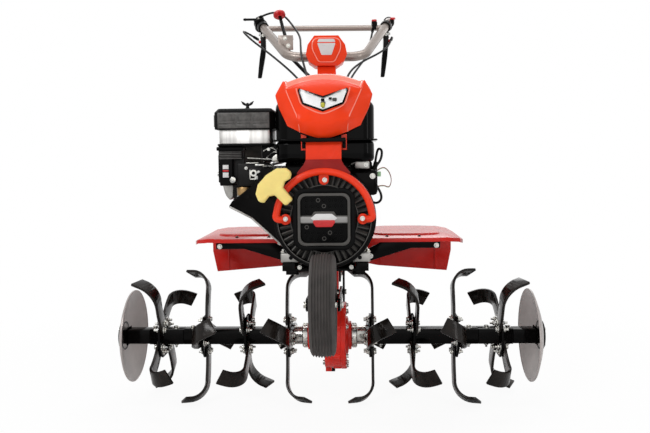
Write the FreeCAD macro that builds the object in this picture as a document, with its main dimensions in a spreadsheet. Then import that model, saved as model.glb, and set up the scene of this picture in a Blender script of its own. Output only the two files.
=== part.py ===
import FreeCAD, Part
import math
import os
import re
import Sketcher
from FreeCAD import Placement, Rotation, Vector

# Garden tiller: petrol engine in front of a gear transmission, a full-width tine rotor
# under it, a swinging transport wheel at the front and a two-handed handlebar behind.
# +Z is up, -Y is the front of the machine and +X is its left. The origin is on the
# floor, under the centre of the machine's bounding box. Millimetres and degrees.

SIZES = {
    # tine rotor
    "axle_y": -208, "tine_radius": 174, "tube_width": 40, "tube_wall": 4, "fit_gap": 0.5,
    "flange_thick": 6, "flange_flats": 110, "flange_pitch": 114.5, "flange_first": 108,
    "tine_width": 42, "tine_thick": 7, "tine_bend": 55, "tine_turn": 79,
    "tine_twist": 14, "tine_sabre": 205, "tine_tip": 22, "section_joint": 394, "section_end": 486,
    "spigot_long": 50,
    "disc_gap": 44, "disc_radius": 124, "disc_dish": 32, "disc_thick": 3,
    "axle_radius": 24, "axle_half": 96,
    # final drive
    "case_radius": 86, "case_inner_x": -12, "case_seam_x": 30, "case_outer_x": 43,
    "boss_radius": 38, "boss_end": 58, "ring_nut_radius": 33, "ring_nut_end": 73,
    "leg_half_width": 25, "leg_half_depth": 42, "leg_top": 372, "lug_bottom": 78,
    # transmission
    "box_half_width": 62, "box_front": -42, "box_back": 150, "box_top": 560,
    "bell_radius": 88, "crank_height": 513,
    # base frame and transport wheel
    "frame_half_width": 100, "frame_front": -265, "frame_bottom": 389, "plate_thick": 6,
    "rail_height": 13, "rail_width": 30, "cheek_gap": 1, "cheek_thick": 5, "cheek_bottom": 298,
    "cheek_half_depth": 30, "fork_pivot_y": -140, "fork_pivot_z": 318, "bolt_radius": 6,
    "wheel_y": -400, "wheel_z": 337, "wheel_radius": 111, "tyre_width": 55, "rim_radius": 72,
    "arm_gap": 3.5, "arm_thick": 6, "arm_half_width": 14, "fork_tube_y": -262, "fork_tube_radius": 8,
    # engine
    "engine_half_width": 88, "engine_front": -205, "engine_top": 600, "foot_height": 16,
    "fan_radius": 118, "fan_front": -276, "starter_radius": 110, "starter_front": -298,
    "cover_half": 70, "cover_round": 26, "cover_front": -319,
    "guard_radius": 107.5, "guard_tube": 8.2, "guard_gap": 1, "guard_lean": 12, "guard_bolt_x": 87,
    "neck_half_width": 40,
    "tank_half_width": 116, "tank_seam_z": 690, "tank_bottom": 640, "tank_top": 786,
    "tank_front": -235, "tank_back": -30, "seam_lip": 8, "seam_thick": 4, "cap_radius": 34, "cap_height": 26,
    "cleaner_out": -262, "cleaner_gap": 2, "cleaner_front": -215, "cleaner_back": -85,
    "cleaner_bottom": 684, "cleaner_split": 720, "cleaner_top": 769,
    "head_out": -257, "head_bottom": 518, "head_top": 640, "carb_bowl_radius": 20,
    "muffler_radius": 44, "muffler_long": 116,
    # hood and headlight
    "hood_half_width": 113, "hood_bottom": 692, "hood_top": 850, "hood_front": -318, "hood_back": -150,
    "hood_wall": 3, "lamp_half_width": 53, "lamp_bottom": 759,
    # fenders
    "fender_in": 106, "fender_out": 348, "fender_top": 450, "fender_front": -130, "fender_back": 190,
    "fender_wall": 3, "fender_lip": 10, "fender_turn": 84, "fender_fall": 13, "apron_bottom": 320,
    # hitch and depth stake
    "hitch_z": 330, "hitch_half_width": 30, "hitch_back": 285, "stake_y": 262, "stake_width": 25,
    "stake_thick": 12, "stake_top": 520, "hitch_pin_radius": 10, "clamp_radius": 5,
    # handle
    "swivel_y": 110, "handle_slew": 3, "post_radius": 48, "post_height": 24, "yoke_gap": 5,
    "tilt_z": 640, "stem_width": 58, "stem_depth": 34, "console_y": 450, "console_z": 970,
    "console_half_width": 65, "bar_radius": 15, "bend_x": 122, "bend_radius": 60,
    "shoulder_x": 236, "shoulder_y": 770, "shoulder_z": 1142, "grip_run": 135, "grip_rise": 8,
    "grip_radius": 18, "grip_long": 120, "cross_y": 700, "cross_z": 1108, "cross_radius": 10,
    "lever_y": 724, "collar_y": 750, "clamp_long": 22, "knob_x": 157, "knob_y": 650, "knob_z": 1146,
    "knob_radius": 15, "gate_x": 130,
    "gate_y": 566, "gate_z": 1040, "shift_rod_radius": 6, "rod_side_x": 44, "switch_x": 176,
    "cable_radius": 3.5, "pair_radius": 1.2,
    "ferrule_radius": 5, "ferrule_long": 22, "ring_gap": 0.3, "clip_y": 204, "clip_z": 724, "clip_wing": 28,
    "clip_half_height": 31, "clip_thick": 5,
}

document = FreeCAD.newDocument("GardenTiller")
sheet = document.addObject("Spreadsheet::Sheet", "Sizes")
for row, (alias, number) in enumerate(SIZES.items(), 1):
    sheet.set(f"A{row}", alias)
    sheet.set(f"B{row}", str(number))
    sheet.setAlias(f"B{row}", alias)
document.recompute()

# Places that follow from what they fit to. A tine's root clears the corners of the square tube.
TINE_ROOT = "(tube_width * 0.75)"
DISC_RIM_X = "(section_end + disc_gap)"
ARM_INNER = "(tyre_width / 2 + arm_gap)"
ARM_OUTER = "(tyre_width / 2 + arm_gap + arm_thick)"
CHEEK_INNER = "(tyre_width / 2 + arm_gap + arm_thick + cheek_gap)"
CHEEK_OUTER = "(tyre_width / 2 + arm_gap + arm_thick + cheek_gap + cheek_thick)"
CLEANER_IN = "(-tank_half_width - cleaner_gap)"
YOKE = "(stem_width / 2 + yoke_gap)"

ORIGIN_PLANES = {"XY": "XY_Plane", "XZ": "XZ_Plane", "YZ": "YZ_Plane"}
AXIS_TURNS = {
    "x": Rotation(Vector(0, 1, 0), 90),
    "y": Rotation(Vector(1, 0, 0), -90),
    "z": Rotation(),
}
subparts = []


def bound(text):
    """The text of a size formula with each alias pointing at the sheet."""
    return re.sub(r"[a-z_]+", lambda word: "Sizes." + word[0] if word[0] in SIZES else word[0], str(text))


def size(text):
    """The number that a size formula gives."""
    result = sheet.evalExpression(bound(text))
    return float(getattr(result, "Value", result))


def ahead(text):
    """A place along Y that is counted from the tine axle."""
    return f"axle_y + ({text})"


def box(name, x_from, x_to, y_from, y_to, z_from, z_to):
    """A block between six formulas."""
    block = document.addObject("Part::Box", name)
    for length, start, end in (("Length", x_from, x_to), ("Width", y_from, y_to), ("Height", z_from, z_to)):
        block.setExpression(length, bound(f"({end}) - ({start})"))
    for letter, start in zip("xyz", (x_from, y_from, z_from)):
        block.setExpression(f"Placement.Base.{letter}", bound(start))
    return block


def rod(name, axis, radius, start, end, across):
    """A cylinder along one axis, from start to end, with its centre line at the two other formulas."""
    cylinder = document.addObject("Part::Cylinder", name)
    cylinder.Placement = Placement(Vector(), AXIS_TURNS[axis])
    cylinder.setExpression("Radius", bound(radius))
    cylinder.setExpression("Height", bound(f"({end}) - ({start})"))
    centre = dict(zip([letter for letter in "xyz" if letter != axis], across))
    centre[axis] = start
    for letter in "xyz":
        cylinder.setExpression(f"Placement.Base.{letter}", bound(centre[letter]))
    return cylinder


def fuse(name, *pieces):
    """One solid from pieces that are welded or cast together."""
    whole = document.addObject("Part::MultiFuse", name)
    whole.Shapes = list(pieces)
    whole.Refine = True
    return whole


def group(name, *pieces):
    """Like pieces that share a node and don't touch."""
    whole = document.addObject("Part::Compound", name)
    whole.Links = list(pieces)
    return whole


def cut(name, base, *tools):
    """A piece with other shapes taken out of it."""
    result = base
    for count, tool in enumerate(tools):
        step = document.addObject("Part::Cut", name if tool is tools[-1] else f"{name}_cut_{count}")
        step.Base = result
        step.Tool = tool
        result = step
    return result


def mirror(name, source):
    """The same piece on the machine's other side."""
    twin = document.addObject("Part::Mirroring", name)
    twin.Source = source
    twin.Normal = Vector(1, 0, 0)
    return twin


def feature(name, shape):
    """A piece whose shape is made by Part's own functions."""
    piece = document.addObject("Part::Feature", name)
    piece.Shape = shape
    return piece


def closed_sketch(body, name, plane, points):
    """A closed outline of straight lines on one of the body's own origin planes."""
    sketch = body.newObject("Sketcher::SketchObject", name)
    origin = [item for item in body.Origin.OriginFeatures if item.Role == ORIGIN_PLANES[plane]]
    sketch.AttachmentSupport = (origin[0], "")
    sketch.MapMode = "FlatFace"
    corners = [Vector(size(across), size(along), 0) for across, along in points]
    count = len(corners)
    for index in range(count):
        sketch.addGeometry(Part.LineSegment(corners[index], corners[(index + 1) % count]), False)
    for index in range(count):
        sketch.addConstraint(Sketcher.Constraint("Coincident", index, 2, (index + 1) % count, 1))
    for index, (point, corner) in enumerate(zip(points, corners)):
        for kind, formula, number in (("DistanceX", point[0], corner.x), ("DistanceY", point[1], corner.y)):
            place = sketch.addConstraint(Sketcher.Constraint(kind, -1, 1, index, 1, number))
            label = f"corner_{index}_{kind[-1]}"
            sketch.renameConstraint(place, label)
            sketch.setExpression(f".Constraints.{label}", bound(formula))
    return sketch


def pad(name, plane, points, start, end, rounding=None):
    """A sketched outline padded between two places along the normal of its plane."""
    body = document.addObject("PartDesign::Body", name)
    sketch = closed_sketch(body, f"{name}_outline", plane, points)
    sign = -1 if plane == "XZ" else 1
    near, far = (start, end) if sign == 1 else (f"-({end})", f"-({start})")
    sketch.setExpression("AttachmentOffset.Base.z", bound(near))
    solid = body.newObject("PartDesign::Pad", f"{name}_pad")
    solid.Profile = sketch
    solid.setExpression("Length", bound(f"({far}) - ({near})"))
    body.Tip = solid
    document.recompute()
    if rounding:
        along = {"XY": Vector(0, 0, 1), "XZ": Vector(0, 1, 0), "YZ": Vector(1, 0, 0)}[plane]
        edges = [
            f"Edge{index}"
            for index, edge in enumerate(solid.Shape.Edges, 1)
            if abs(abs(edge.tangentAt(edge.FirstParameter).dot(along)) - 1) < 1e-6
        ]
        soft = body.newObject("PartDesign::Fillet", f"{name}_rounding")
        soft.Base = (solid, edges)
        soft.setExpression("Radius", bound(rounding))
        body.Tip = soft
    return body


def turned(name, points, axis_z, axis_y):
    """A profile of (X, radius) points revolved about a line along X."""
    body = document.addObject("PartDesign::Body", name)
    sketch = closed_sketch(body, f"{name}_profile", "XY", points)
    solid = body.newObject("PartDesign::Revolution", f"{name}_turned")
    solid.Profile = sketch
    solid.ReferenceAxis = (sketch, ["H_Axis"])
    solid.Angle = 360
    body.Tip = solid
    body.setExpression("Placement.Base.y", bound(axis_y))
    body.setExpression("Placement.Base.z", bound(axis_z))
    return body


def bent_wire(points, bend):
    """Straight runs joined by tangent arcs of the given radius."""
    edges = []
    start = points[0]
    for before, corner, after in zip(points, points[1:], points[2:]):
        toward = (before - corner).normalize()
        onward = (after - corner).normalize()
        half = toward.getAngle(onward) / 2
        reach = bend / math.tan(half)
        middle = corner + (toward + onward).normalize() * (bend / math.sin(half) - bend)
        edges.append(Part.LineSegment(start, corner + toward * reach).toShape())
        edges.append(Part.Arc(corner + toward * reach, middle, corner + onward * reach).toShape())
        start = corner + onward * reach
    edges.append(Part.LineSegment(start, points[-1]).toShape())
    return Part.Wire(edges)


def bent_tube(points, radius, bend):
    """A solid round bar along straight runs and tangent arcs."""
    path = bent_wire(points, bend)
    section = Part.Wire([Part.Circle(points[0], points[1] - points[0], radius).toShape()])
    return path.makePipeShell([section], True, False)


def keep(node, piece):
    """Name a sub-part's file and put it on the list to export."""
    piece.Label = node
    subparts.append((node, piece))


def on_handle(piece):
    """Turn a piece with the handle, which stands a little to one side of straight ahead."""
    pivot = f"({ahead('swivel_y')})"
    piece.setExpression("Placement.Rotation.Angle", bound("handle_slew"))
    piece.setExpression("Placement.Base.x", bound(f"{pivot} * sin(handle_slew)"))
    piece.setExpression("Placement.Base.y", bound(f"{pivot} * (1 - cos(handle_slew))"))
    return piece


# --- final drive and transmission -------------------------------------------------------

AXLE = (ahead("0"), "tine_radius")


def make_final_drive():
    """The cast case round the axle, its bolted cover and the two bearing ring nuts."""
    case = fuse(
        "final_drive_solid",
        rod("case_round", "x", "case_radius", "case_inner_x", "case_seam_x", AXLE),
        rod("case_boss", "x", "boss_radius", "-boss_end", "case_inner_x", AXLE),
        box("case_leg", "-leg_half_width", "leg_half_width", ahead("-leg_half_depth"),
            ahead("leg_half_depth"), "tine_radius", "leg_top"),
        box("case_lug", "case_inner_x", "case_inner_x + 16", ahead("-14"), ahead("14"),
            "lug_bottom", "tine_radius"),
    )
    cover = fuse(
        "case_cover_solid",
        rod("cover_round", "x", "case_radius + 3", "case_seam_x", "case_outer_x", AXLE),
        rod("cover_boss", "x", "boss_radius", "case_outer_x", "boss_end", AXLE),
    )
    nuts = group(
        "ring_nuts_solid",
        rod("nut_right", "x", "ring_nut_radius", "-ring_nut_end", "-boss_end", AXLE),
        rod("nut_left", "x", "ring_nut_radius", "boss_end", "ring_nut_end", AXLE),
    )
    bore = ("x", "axle_radius + fit_gap", "-axle_half", "axle_half", AXLE)
    leg_clear = box("leg_side_clear", "case_seam_x", "case_outer_x", ahead("-leg_half_depth"),
                    ahead("leg_half_depth"), "tine_radius + case_radius + 3", "leg_top")
    keep("final_drive_case", cut("final_drive_case", case, rod("case_bore", *bore)))
    keep("final_drive_cover", cut("final_drive_cover", cover, rod("cover_bore", *bore), leg_clear))
    keep("axle_ring_nuts", cut("axle_ring_nuts", nuts, rod("nut_bore", *bore)))


def make_transmission():
    """The upper gear case behind the engine, with the clutch bell on its front."""
    gear_box = pad(
        "gear_box", "YZ",
        [(ahead("box_front"), "leg_top"), (ahead("box_back - 40"), "leg_top"),
         (ahead("box_back"), "leg_top + 40"), (ahead("box_back"), "box_top - 30"),
         (ahead("box_back - 30"), "box_top"), (ahead("box_front"), "box_top")],
        "-box_half_width", "box_half_width",
    )
    bell = rod("clutch_bell", "y", "bell_radius", ahead("box_front"), ahead("box_front + 46"),
               ("0", "crank_height"))
    keep("transmission_case", fuse("transmission_case", gear_box, bell))


# --- tine rotor -------------------------------------------------------------------------


def square_bar(name, half, start, end):
    """A square bar on the axle line."""
    return box(name, start, end, ahead(f"-({half})"), ahead(half), f"tine_radius - ({half})",
               f"tine_radius + ({half})")


def flange(name, middle):
    """An eight-sided plate that carries four tines."""
    half = "flange_flats / 2"
    chop = "flange_flats / 2 * tan(22.5)"
    ring = [(half, chop), (chop, half), (f"-{chop}", half), (f"-{half}", chop),
            (f"-{half}", f"-{chop}"), (f"-{chop}", f"-{half}"), (chop, f"-{half}"), (half, f"-{chop}")]
    points = [(ahead(across), f"tine_radius + ({up})") for across, up in ring]
    return pad(name, "YZ", points, f"{middle} - flange_thick / 2", f"{middle} + flange_thick / 2")


def flange_place(index):
    """How far out from the middle one flange stands."""
    return f"(flange_first + {index} * flange_pitch)"


def make_rotor_tubes():
    """The axle, and on each side the inner and outer tube sections with their flanges."""
    spigot = "tube_width / 2 - tube_wall - fit_gap"
    axle = fuse(
        "rotor_shaft",
        rod("axle_round", "x", "axle_radius", "-axle_half", "axle_half", AXLE),
        square_bar("axle_square_left", spigot, "axle_half - 1", "axle_half + spigot_long"),
        square_bar("axle_square_right", spigot, "-axle_half - spigot_long", "-axle_half + 1"),
    )
    keep("rotor_shaft", axle)
    bore = "tube_width / 2 - tube_wall"
    inner = fuse(
        "inner_section",
        square_bar("inner_tube", "tube_width / 2", "axle_half", "section_joint"),
        *[flange(f"flange_{index + 1}", flange_place(index)) for index in range(3)],
    )
    inner_left = cut("inner_rotor_left", inner, square_bar("inner_bore", bore, "axle_half", "section_joint"))
    outer = fuse(
        "outer_section",
        square_bar("outer_tube", "tube_width / 2", "section_joint", "section_end"),
        flange("flange_4", flange_place(3)),
    )
    outer_bore = square_bar("outer_bore", bore, "section_joint + 6", "section_end")
    outer_open = cut("outer_hollow", outer, outer_bore)
    outer_left = fuse("outer_rotor_left", outer_open,
                      square_bar("outer_spigot", spigot, "section_joint - spigot_long", "section_joint"))
    for node, piece in (("inner_rotor", inner_left), ("outer_rotor", outer_left)):
        keep(f"{node}_left", piece)
        keep(f"{node}_right", mirror(f"{node}_right", piece))


def make_guard_discs():
    """The dished plant-guard discs on the ends of the rotor."""
    spigot = "tube_width / 2 - tube_wall - fit_gap"
    dish = turned(
        "disc_dish_plate",
        [(DISC_RIM_X, "disc_radius"), (f"{DISC_RIM_X} + disc_dish * 0.55", "disc_radius * 0.62"),
         (f"{DISC_RIM_X} + disc_dish", "disc_radius * 0.2"), (f"{DISC_RIM_X} + disc_dish", "0"),
         (f"{DISC_RIM_X} + disc_dish + disc_thick", "0"),
         (f"{DISC_RIM_X} + disc_dish + disc_thick", "disc_radius * 0.2"),
         (f"{DISC_RIM_X} + disc_dish * 0.55 + disc_thick", "disc_radius * 0.62"),
         (f"{DISC_RIM_X} + disc_thick", "disc_radius")],
        "tine_radius", ahead("0"),
    )
    left = fuse(
        "guard_disc_left",
        dish,
        square_bar("disc_tube", "tube_width / 2 - 1", "section_end", f"{DISC_RIM_X} + disc_dish"),
        square_bar("disc_spigot", spigot, "section_end - spigot_long", "section_end"),
    )
    keep("guard_disc_left", left)
    keep("guard_disc_right", mirror("guard_disc_right", left))


def tine_sections(straight):
    """Cross-sections of a flat bar that curves edgeways and bends sideways past its straight run."""
    middle = Vector(0, 0, size(TINE_ROOT))
    along, across, side = Vector(0, 0, 1), Vector(0, 1, 0), Vector(1, 0, 0)
    half = size("tine_width") / 2
    thick = size("tine_thick")
    bend_long = size("tine_bend") * math.radians(size("tine_turn"))
    steps = 8
    pieces = [(straight / 4, 0, 0)] * 4
    pieces += [(bend_long / steps, size("tine_turn") / steps, size("tine_twist") / steps)] * steps
    pieces += [(size("tine_tip") / 2, 0, 0)] * 2
    sections = [(middle, across * half, side * thick)]
    for run, turn, twist in pieces:
        edgeways = -math.degrees(run / size("tine_sabre"))
        for part_way in (run / 2, run / 2):
            bend = Rotation(across, turn / 2)
            roll = Rotation(along, twist / 2)
            curve = Rotation(side, edgeways / 2)
            change = curve.multiply(roll).multiply(bend)
            middle = middle + along * part_way
            along, across, side = (change.multVec(axis) for axis in (along, across, side))
        sections.append((middle, across * half, side * thick))
    return sections


def tine_corners(section):
    """The four corners of one cross-section."""
    middle, half, normal = section
    return [middle - half, middle + half, middle + half + normal, middle - half + normal]


def tine_shape():
    """One tine, whose lowest corner reaches exactly the rotor's radius when it points straight down."""
    reach = size("tine_radius")
    straight = reach / 2
    for _ in range(12):
        corners = [corner for section in tine_sections(straight) for corner in tine_corners(section)]
        straight += reach - max(corner.z for corner in corners)
    wires = []
    for outline in map(tine_corners, tine_sections(straight)):
        wires.append(Part.makePolygon(outline + outline[:1]))
    return Part.makeLoft(wires, True, True)


def placed_tine(shape, middle, outward, angle):
    """A tine on the flange face that it bends away across, on the left side, turned about the axle."""
    tine = shape.copy()
    if not outward:
        tine = tine.mirror(Vector(), Vector(1, 0, 0))
    face = (size("flange_thick") / 2 + size("tine_thick")) * (-1 if outward else 1)
    tine.rotate(Vector(), Vector(1, 0, 0), angle)
    tine.translate(Vector(middle + face, size(AXLE[0]), size(AXLE[1])))
    return tine


def make_tines():
    """Four tines a flange: one opposite pair bends outward, the other pair inward."""
    shape = tine_shape()
    # The angle of each flange's outward pair, from straight up.
    outward_angles = (90, -45, 0, 45)
    for half, indices in (("inner", (0, 1)), ("outer", (2, 3))):
        left = []
        for index in indices:
            middle = size(flange_place(index))
            for angle in (outward_angles[index], outward_angles[index] + 180):
                left.append(placed_tine(shape, middle, True, angle))
                left.append(placed_tine(shape, middle, False, angle + 90))
        right = [tine.mirror(Vector(), Vector(1, 0, 0)) for tine in left]
        keep(f"tines_left_{half}", feature(f"tines_left_{half}", Part.makeCompound(left)))
        keep(f"tines_right_{half}", feature(f"tines_right_{half}", Part.makeCompound(right)))


# --- base frame and transport wheel -----------------------------------------------------


def make_base_frame():
    """The engine plate with its two rails, and the cheeks that carry the wheel fork."""
    plate_top = "frame_bottom + plate_thick"
    plate = box("frame_plate", "-frame_half_width", "frame_half_width", ahead("frame_front"),
                ahead("box_front"), "frame_bottom", plate_top)
    pieces = [plate]
    for sign, side in ((1, "left"), (-1, "right")):
        inner, outer = (CHEEK_INNER, CHEEK_OUTER) if sign == 1 else (f"-{CHEEK_OUTER}", f"-{CHEEK_INNER}")
        rail = ("frame_half_width - rail_width", "frame_half_width")
        rail_from, rail_to = rail if sign == 1 else (f"-({rail[1]})", f"-({rail[0]})")
        pieces.append(box(f"frame_rail_{side}", rail_from, rail_to, ahead("frame_front"),
                          ahead("box_front"), plate_top, f"{plate_top} + rail_height"))
        pieces.append(box(f"frame_cheek_{side}", inner, outer, ahead("fork_pivot_y - cheek_half_depth"),
                          ahead("fork_pivot_y + cheek_half_depth"), "cheek_bottom", "frame_bottom"))
    pivot = (ahead("fork_pivot_y"), "fork_pivot_z")
    holes = rod("cheek_holes", "x", "bolt_radius", f"-{CHEEK_OUTER}", CHEEK_OUTER, pivot)
    keep("base_frame", cut("base_frame", fuse("frame_welded", *pieces), holes))
    bolt = fuse(
        "fork_pivot_bolt",
        rod("pivot_shank", "x", "bolt_radius", f"-{CHEEK_OUTER}", CHEEK_OUTER, pivot),
        rod("pivot_head", "x", "bolt_radius + 3.5", CHEEK_OUTER, f"{CHEEK_OUTER} + 4", pivot),
        rod("pivot_nut", "x", "bolt_radius + 3.5", f"-{CHEEK_OUTER} - 4", f"-{CHEEK_OUTER}", pivot),
    )
    keep("fork_pivot_bolt", bolt)


def make_wheel_fork():
    """Two flat arms from the pivot to the wheel, joined by a cross tube behind the tyre."""
    half = "arm_half_width"
    ends = [(ahead("fork_pivot_y"), "fork_pivot_z"), (ahead("wheel_y"), "wheel_z")]
    arms = []
    for sign, side in ((1, "left"), (-1, "right")):
        near, far = (ARM_INNER, ARM_OUTER) if sign == 1 else (f"-{ARM_OUTER}", f"-{ARM_INNER}")
        arms.append(pad(
            f"fork_arm_{side}", "YZ",
            [(ends[0][0], f"fork_pivot_z - {half}"), (ends[0][0], f"fork_pivot_z + {half}"),
             (ends[1][0], f"wheel_z + {half}"), (ends[1][0], f"wheel_z - {half}")],
            near, far,
        ))
        for index, end in enumerate(ends):
            arms.append(rod(f"fork_eye_{side}_{index}", "x", half, near, far, end))
    slope = "(wheel_z - fork_pivot_z) / (wheel_y - fork_pivot_y)"
    tube_z = f"fork_pivot_z + (fork_tube_y - fork_pivot_y) * {slope}"
    arms.append(rod("fork_tube", "x", "fork_tube_radius", f"-{ARM_INNER}", ARM_INNER,
                    (ahead("fork_tube_y"), tube_z)))
    holes = [
        rod("fork_pivot_holes", "x", "bolt_radius + fit_gap", f"-{ARM_OUTER}", ARM_OUTER, ends[0]),
        rod("fork_wheel_holes", "x", "bolt_radius", f"-{ARM_OUTER}", ARM_OUTER, ends[1]),
    ]
    keep("wheel_fork", cut("wheel_fork", fuse("fork_welded", *arms), *holes))
    bolt = fuse(
        "wheel_bolt",
        rod("wheel_bolt_shank", "x", "bolt_radius", f"-{ARM_OUTER}", ARM_OUTER, ends[1]),
        rod("wheel_bolt_head", "x", "bolt_radius + 3.5", ARM_OUTER, f"{ARM_OUTER} + 6", ends[1]),
        rod("wheel_bolt_nut", "x", "bolt_radius + 3.5", f"-{ARM_OUTER} - 6", f"-{ARM_OUTER}", ends[1]),
    )
    keep("wheel_bolt", bolt)


def make_wheel():
    """A ribbed rubber tyre on a plain rim."""
    half = "tyre_width / 2"
    rim = [("-18", "bolt_radius + fit_gap"), ("18", "bolt_radius + fit_gap"), ("18", "16"), ("6", "20"),
           ("6", "rim_radius - 10"), ("20", "rim_radius - 4"), ("20", "rim_radius"), ("-20", "rim_radius"),
           ("-20", "rim_radius - 4"), ("-6", "rim_radius - 10"), ("-6", "20"), ("-18", "16")]
    tyre = [(f"-{half} + 5", "rim_radius"), (f"{half} - 5", "rim_radius"), (half, "rim_radius + 14"),
            (half, "wheel_radius - 12"), (f"{half} - 7", "wheel_radius - 3"), ("12", "wheel_radius"),
            ("-12", "wheel_radius"), (f"-{half} + 7", "wheel_radius - 3"), (f"-{half}", "wheel_radius - 12"),
            (f"-{half}", "rim_radius + 14")]
    keep("front_wheel_rim", turned("front_wheel_rim", rim, "wheel_z", ahead("wheel_y")))
    keep("front_wheel_tyre", turned("front_wheel_tyre", tyre, "wheel_z", ahead("wheel_y")))


# --- engine -----------------------------------------------------------------------------


def make_engine_block():
    """The crankcase as one plain block on its foot, with the sloping cylinder on its right side."""
    foot_bottom = "frame_bottom + plate_thick + rail_height"
    foot_top = f"{foot_bottom} + foot_height"
    crankcase = pad(
        "crankcase", "XZ",
        [("-engine_half_width", foot_top), ("engine_half_width", foot_top),
         ("engine_half_width", "engine_top - 25"), ("engine_half_width - 25", "engine_top"),
         ("-engine_half_width + 25", "engine_top"), ("-engine_half_width", "engine_top - 25")],
        ahead("engine_front"), ahead("box_front"),
    )
    foot = box("engine_foot", "-frame_half_width", "frame_half_width", ahead("engine_front"),
               ahead("box_front"), foot_bottom, foot_top)
    keep("engine_block", fuse("engine_block", crankcase, foot))
    head = pad(
        "cylinder_head", "XZ",
        [("-engine_half_width", "head_bottom - 14"), ("-engine_half_width", "head_top - 24"),
         ("head_out + 30", "head_top"), ("head_out", "head_top - 12"), ("head_out", "head_bottom + 40"),
         ("head_out + 20", "head_bottom + 26")],
        ahead("engine_front + 60"), ahead("box_front - 18"),
    )
    keep("cylinder_head", head)


def make_fan_housing():
    """The black cowl: round about the crank, with a deck that runs out over the cylinder."""
    round_cowl = rod("fan_round", "y", "fan_radius", ahead("fan_front"), ahead("engine_front"),
                     ("0", "crank_height"))
    deck = pad(
        "fan_deck", "XZ",
        [("-fan_radius * 0.55", "crank_height - fan_radius * 0.83"), ("0", "crank_height"),
         ("0", "crank_height + fan_radius"), ("-146", "crank_height + fan_radius - 4"),
         ("-156", "crank_height + fan_radius - 34"), ("-214", "crank_height + 40"),
         ("-222", "crank_height + 28"), ("-170", "crank_height + 2")],
        ahead("fan_front + 14"), ahead("engine_front"),
    )
    keep("fan_housing", fuse("fan_housing", round_cowl, deck))


def make_recoil_starter():
    """The slotted starter drum, its square cover and the pull handle at rest beside it."""
    drum = rod("starter_drum", "y", "starter_radius", ahead("starter_front"), ahead("fan_front"),
               ("0", "crank_height"))
    keep("recoil_starter", drum)
    half = "cover_half"
    square = [(f"-{half}", f"crank_height - {half}"), (half, f"crank_height - {half}"),
              (half, f"crank_height + {half}"), (f"-{half}", f"crank_height + {half}")]
    keep("starter_cover", pad("starter_cover", "XZ", square, ahead("cover_front"),
                              ahead("starter_front"), "cover_round"))
    stem_turn = Rotation(Vector(0, 1, 0), -47)
    grip = pad("handle_grip", "XZ",
               [("-12", "-20"), ("12", "-20"), ("12", "10"), ("38", "16"), ("38", "34"), ("14", "42"),
                ("-14", "42"), ("-38", "34"), ("-38", "16"), ("-12", "10")],
               "-11", "11")
    grip.Placement = Placement(Vector(), stem_turn)
    handle_y = ahead("cover_front - 11.5")
    for letter, place in (("x", "-guard_radius + 22"), ("y", handle_y),
                          ("z", "crank_height + 54")):
        grip.setExpression(f"Placement.Base.{letter}", bound(place))
    keep("starter_handle", grip)


GUARD_Y = "starter_front - guard_tube - guard_gap"


def make_front_guard():
    """The round bar arch that is bolted to the starter, with the neck that holds the hood."""
    centre = Vector(0, size(ahead(GUARD_Y)), size("crank_height"))
    radius = size("guard_radius")
    bolt_x = size("guard_bolt_x")
    lean = math.radians(size("guard_lean"))
    corner = Vector(radius / math.cos(lean), 0, 0)
    shoulder = Vector(radius * math.cos(lean), 0, radius * math.sin(lean))
    foot = bent_wire([Vector(bolt_x, 0, 0), corner, shoulder], size("guard_tube") * 0.9)
    foot.translate(centre)
    far_shoulder = Vector(-shoulder.x, 0, shoulder.z)
    top = Part.Arc(centre + shoulder, centre + Vector(0, 0, radius), centre + far_shoulder)
    far_foot = foot.mirror(centre, Vector(1, 0, 0))
    route = Part.Wire(Part.__sortEdges__(foot.Edges + [top.toShape()] + far_foot.Edges))
    start = route.OrderedVertexes[0].Point
    section = Part.Wire([Part.Circle(start, Vector(1, 0, 0), size("guard_tube")).toShape()])
    arch = route.makePipeShell([section], True, False)
    arch_piece = feature("guard_arch", arch)
    tab = box("guard_tab", "-11", "11", ahead("starter_front - 6"), ahead("starter_front"),
              "crank_height + 88", "crank_height + guard_radius + 4")
    tab_end = rod("guard_tab_end", "y", "11", ahead("starter_front - 6"), ahead("starter_front"),
                  ("0", "crank_height + 88"))
    pads = []
    for side, sign in (("left", 1), ("right", -1)):
        middle = "guard_bolt_x" if sign == 1 else "-guard_bolt_x"
        pads.append(rod(f"guard_foot_{side}", "y", "12", ahead(GUARD_Y), ahead("starter_front"),
                        (middle, "crank_height")))
    neck = pad(
        "guard_neck", "YZ",
        [(ahead(f"{GUARD_Y} - 3"), "crank_height + guard_radius - 2"),
         (ahead(f"{GUARD_Y} + 3"), "crank_height + guard_radius - 2"),
         (ahead(f"{GUARD_Y} + 26"), "hood_bottom - 6"), (ahead(f"{GUARD_Y} + 50"), "hood_bottom - 6"),
         (ahead(f"{GUARD_Y} + 50"), "hood_bottom"), (ahead(f"{GUARD_Y} + 20"), "hood_bottom")],
        "-neck_half_width", "neck_half_width",
    )
    under_hood = "hood_bottom + 14 * {} / (0.52 * hood_half_width)"
    for side, sign in (("left", ""), ("right", "-")):
        pads.append(pad(
            f"hood_bracket_{side}", "XZ",
            [(f"{sign}neck_half_width", "hood_bottom - 24"),
             (f"{sign}(neck_half_width + 12)", "hood_bottom - 24"),
             (f"{sign}(neck_half_width + 12)", under_hood.format("(neck_half_width + 12)")),
             (f"{sign}neck_half_width", under_hood.format("neck_half_width"))],
            ahead("hood_front + 48"), ahead("hood_front + 64"),
        ))
    keep("front_guard", fuse("front_guard", arch_piece, tab, tab_end, neck, *pads))


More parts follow.
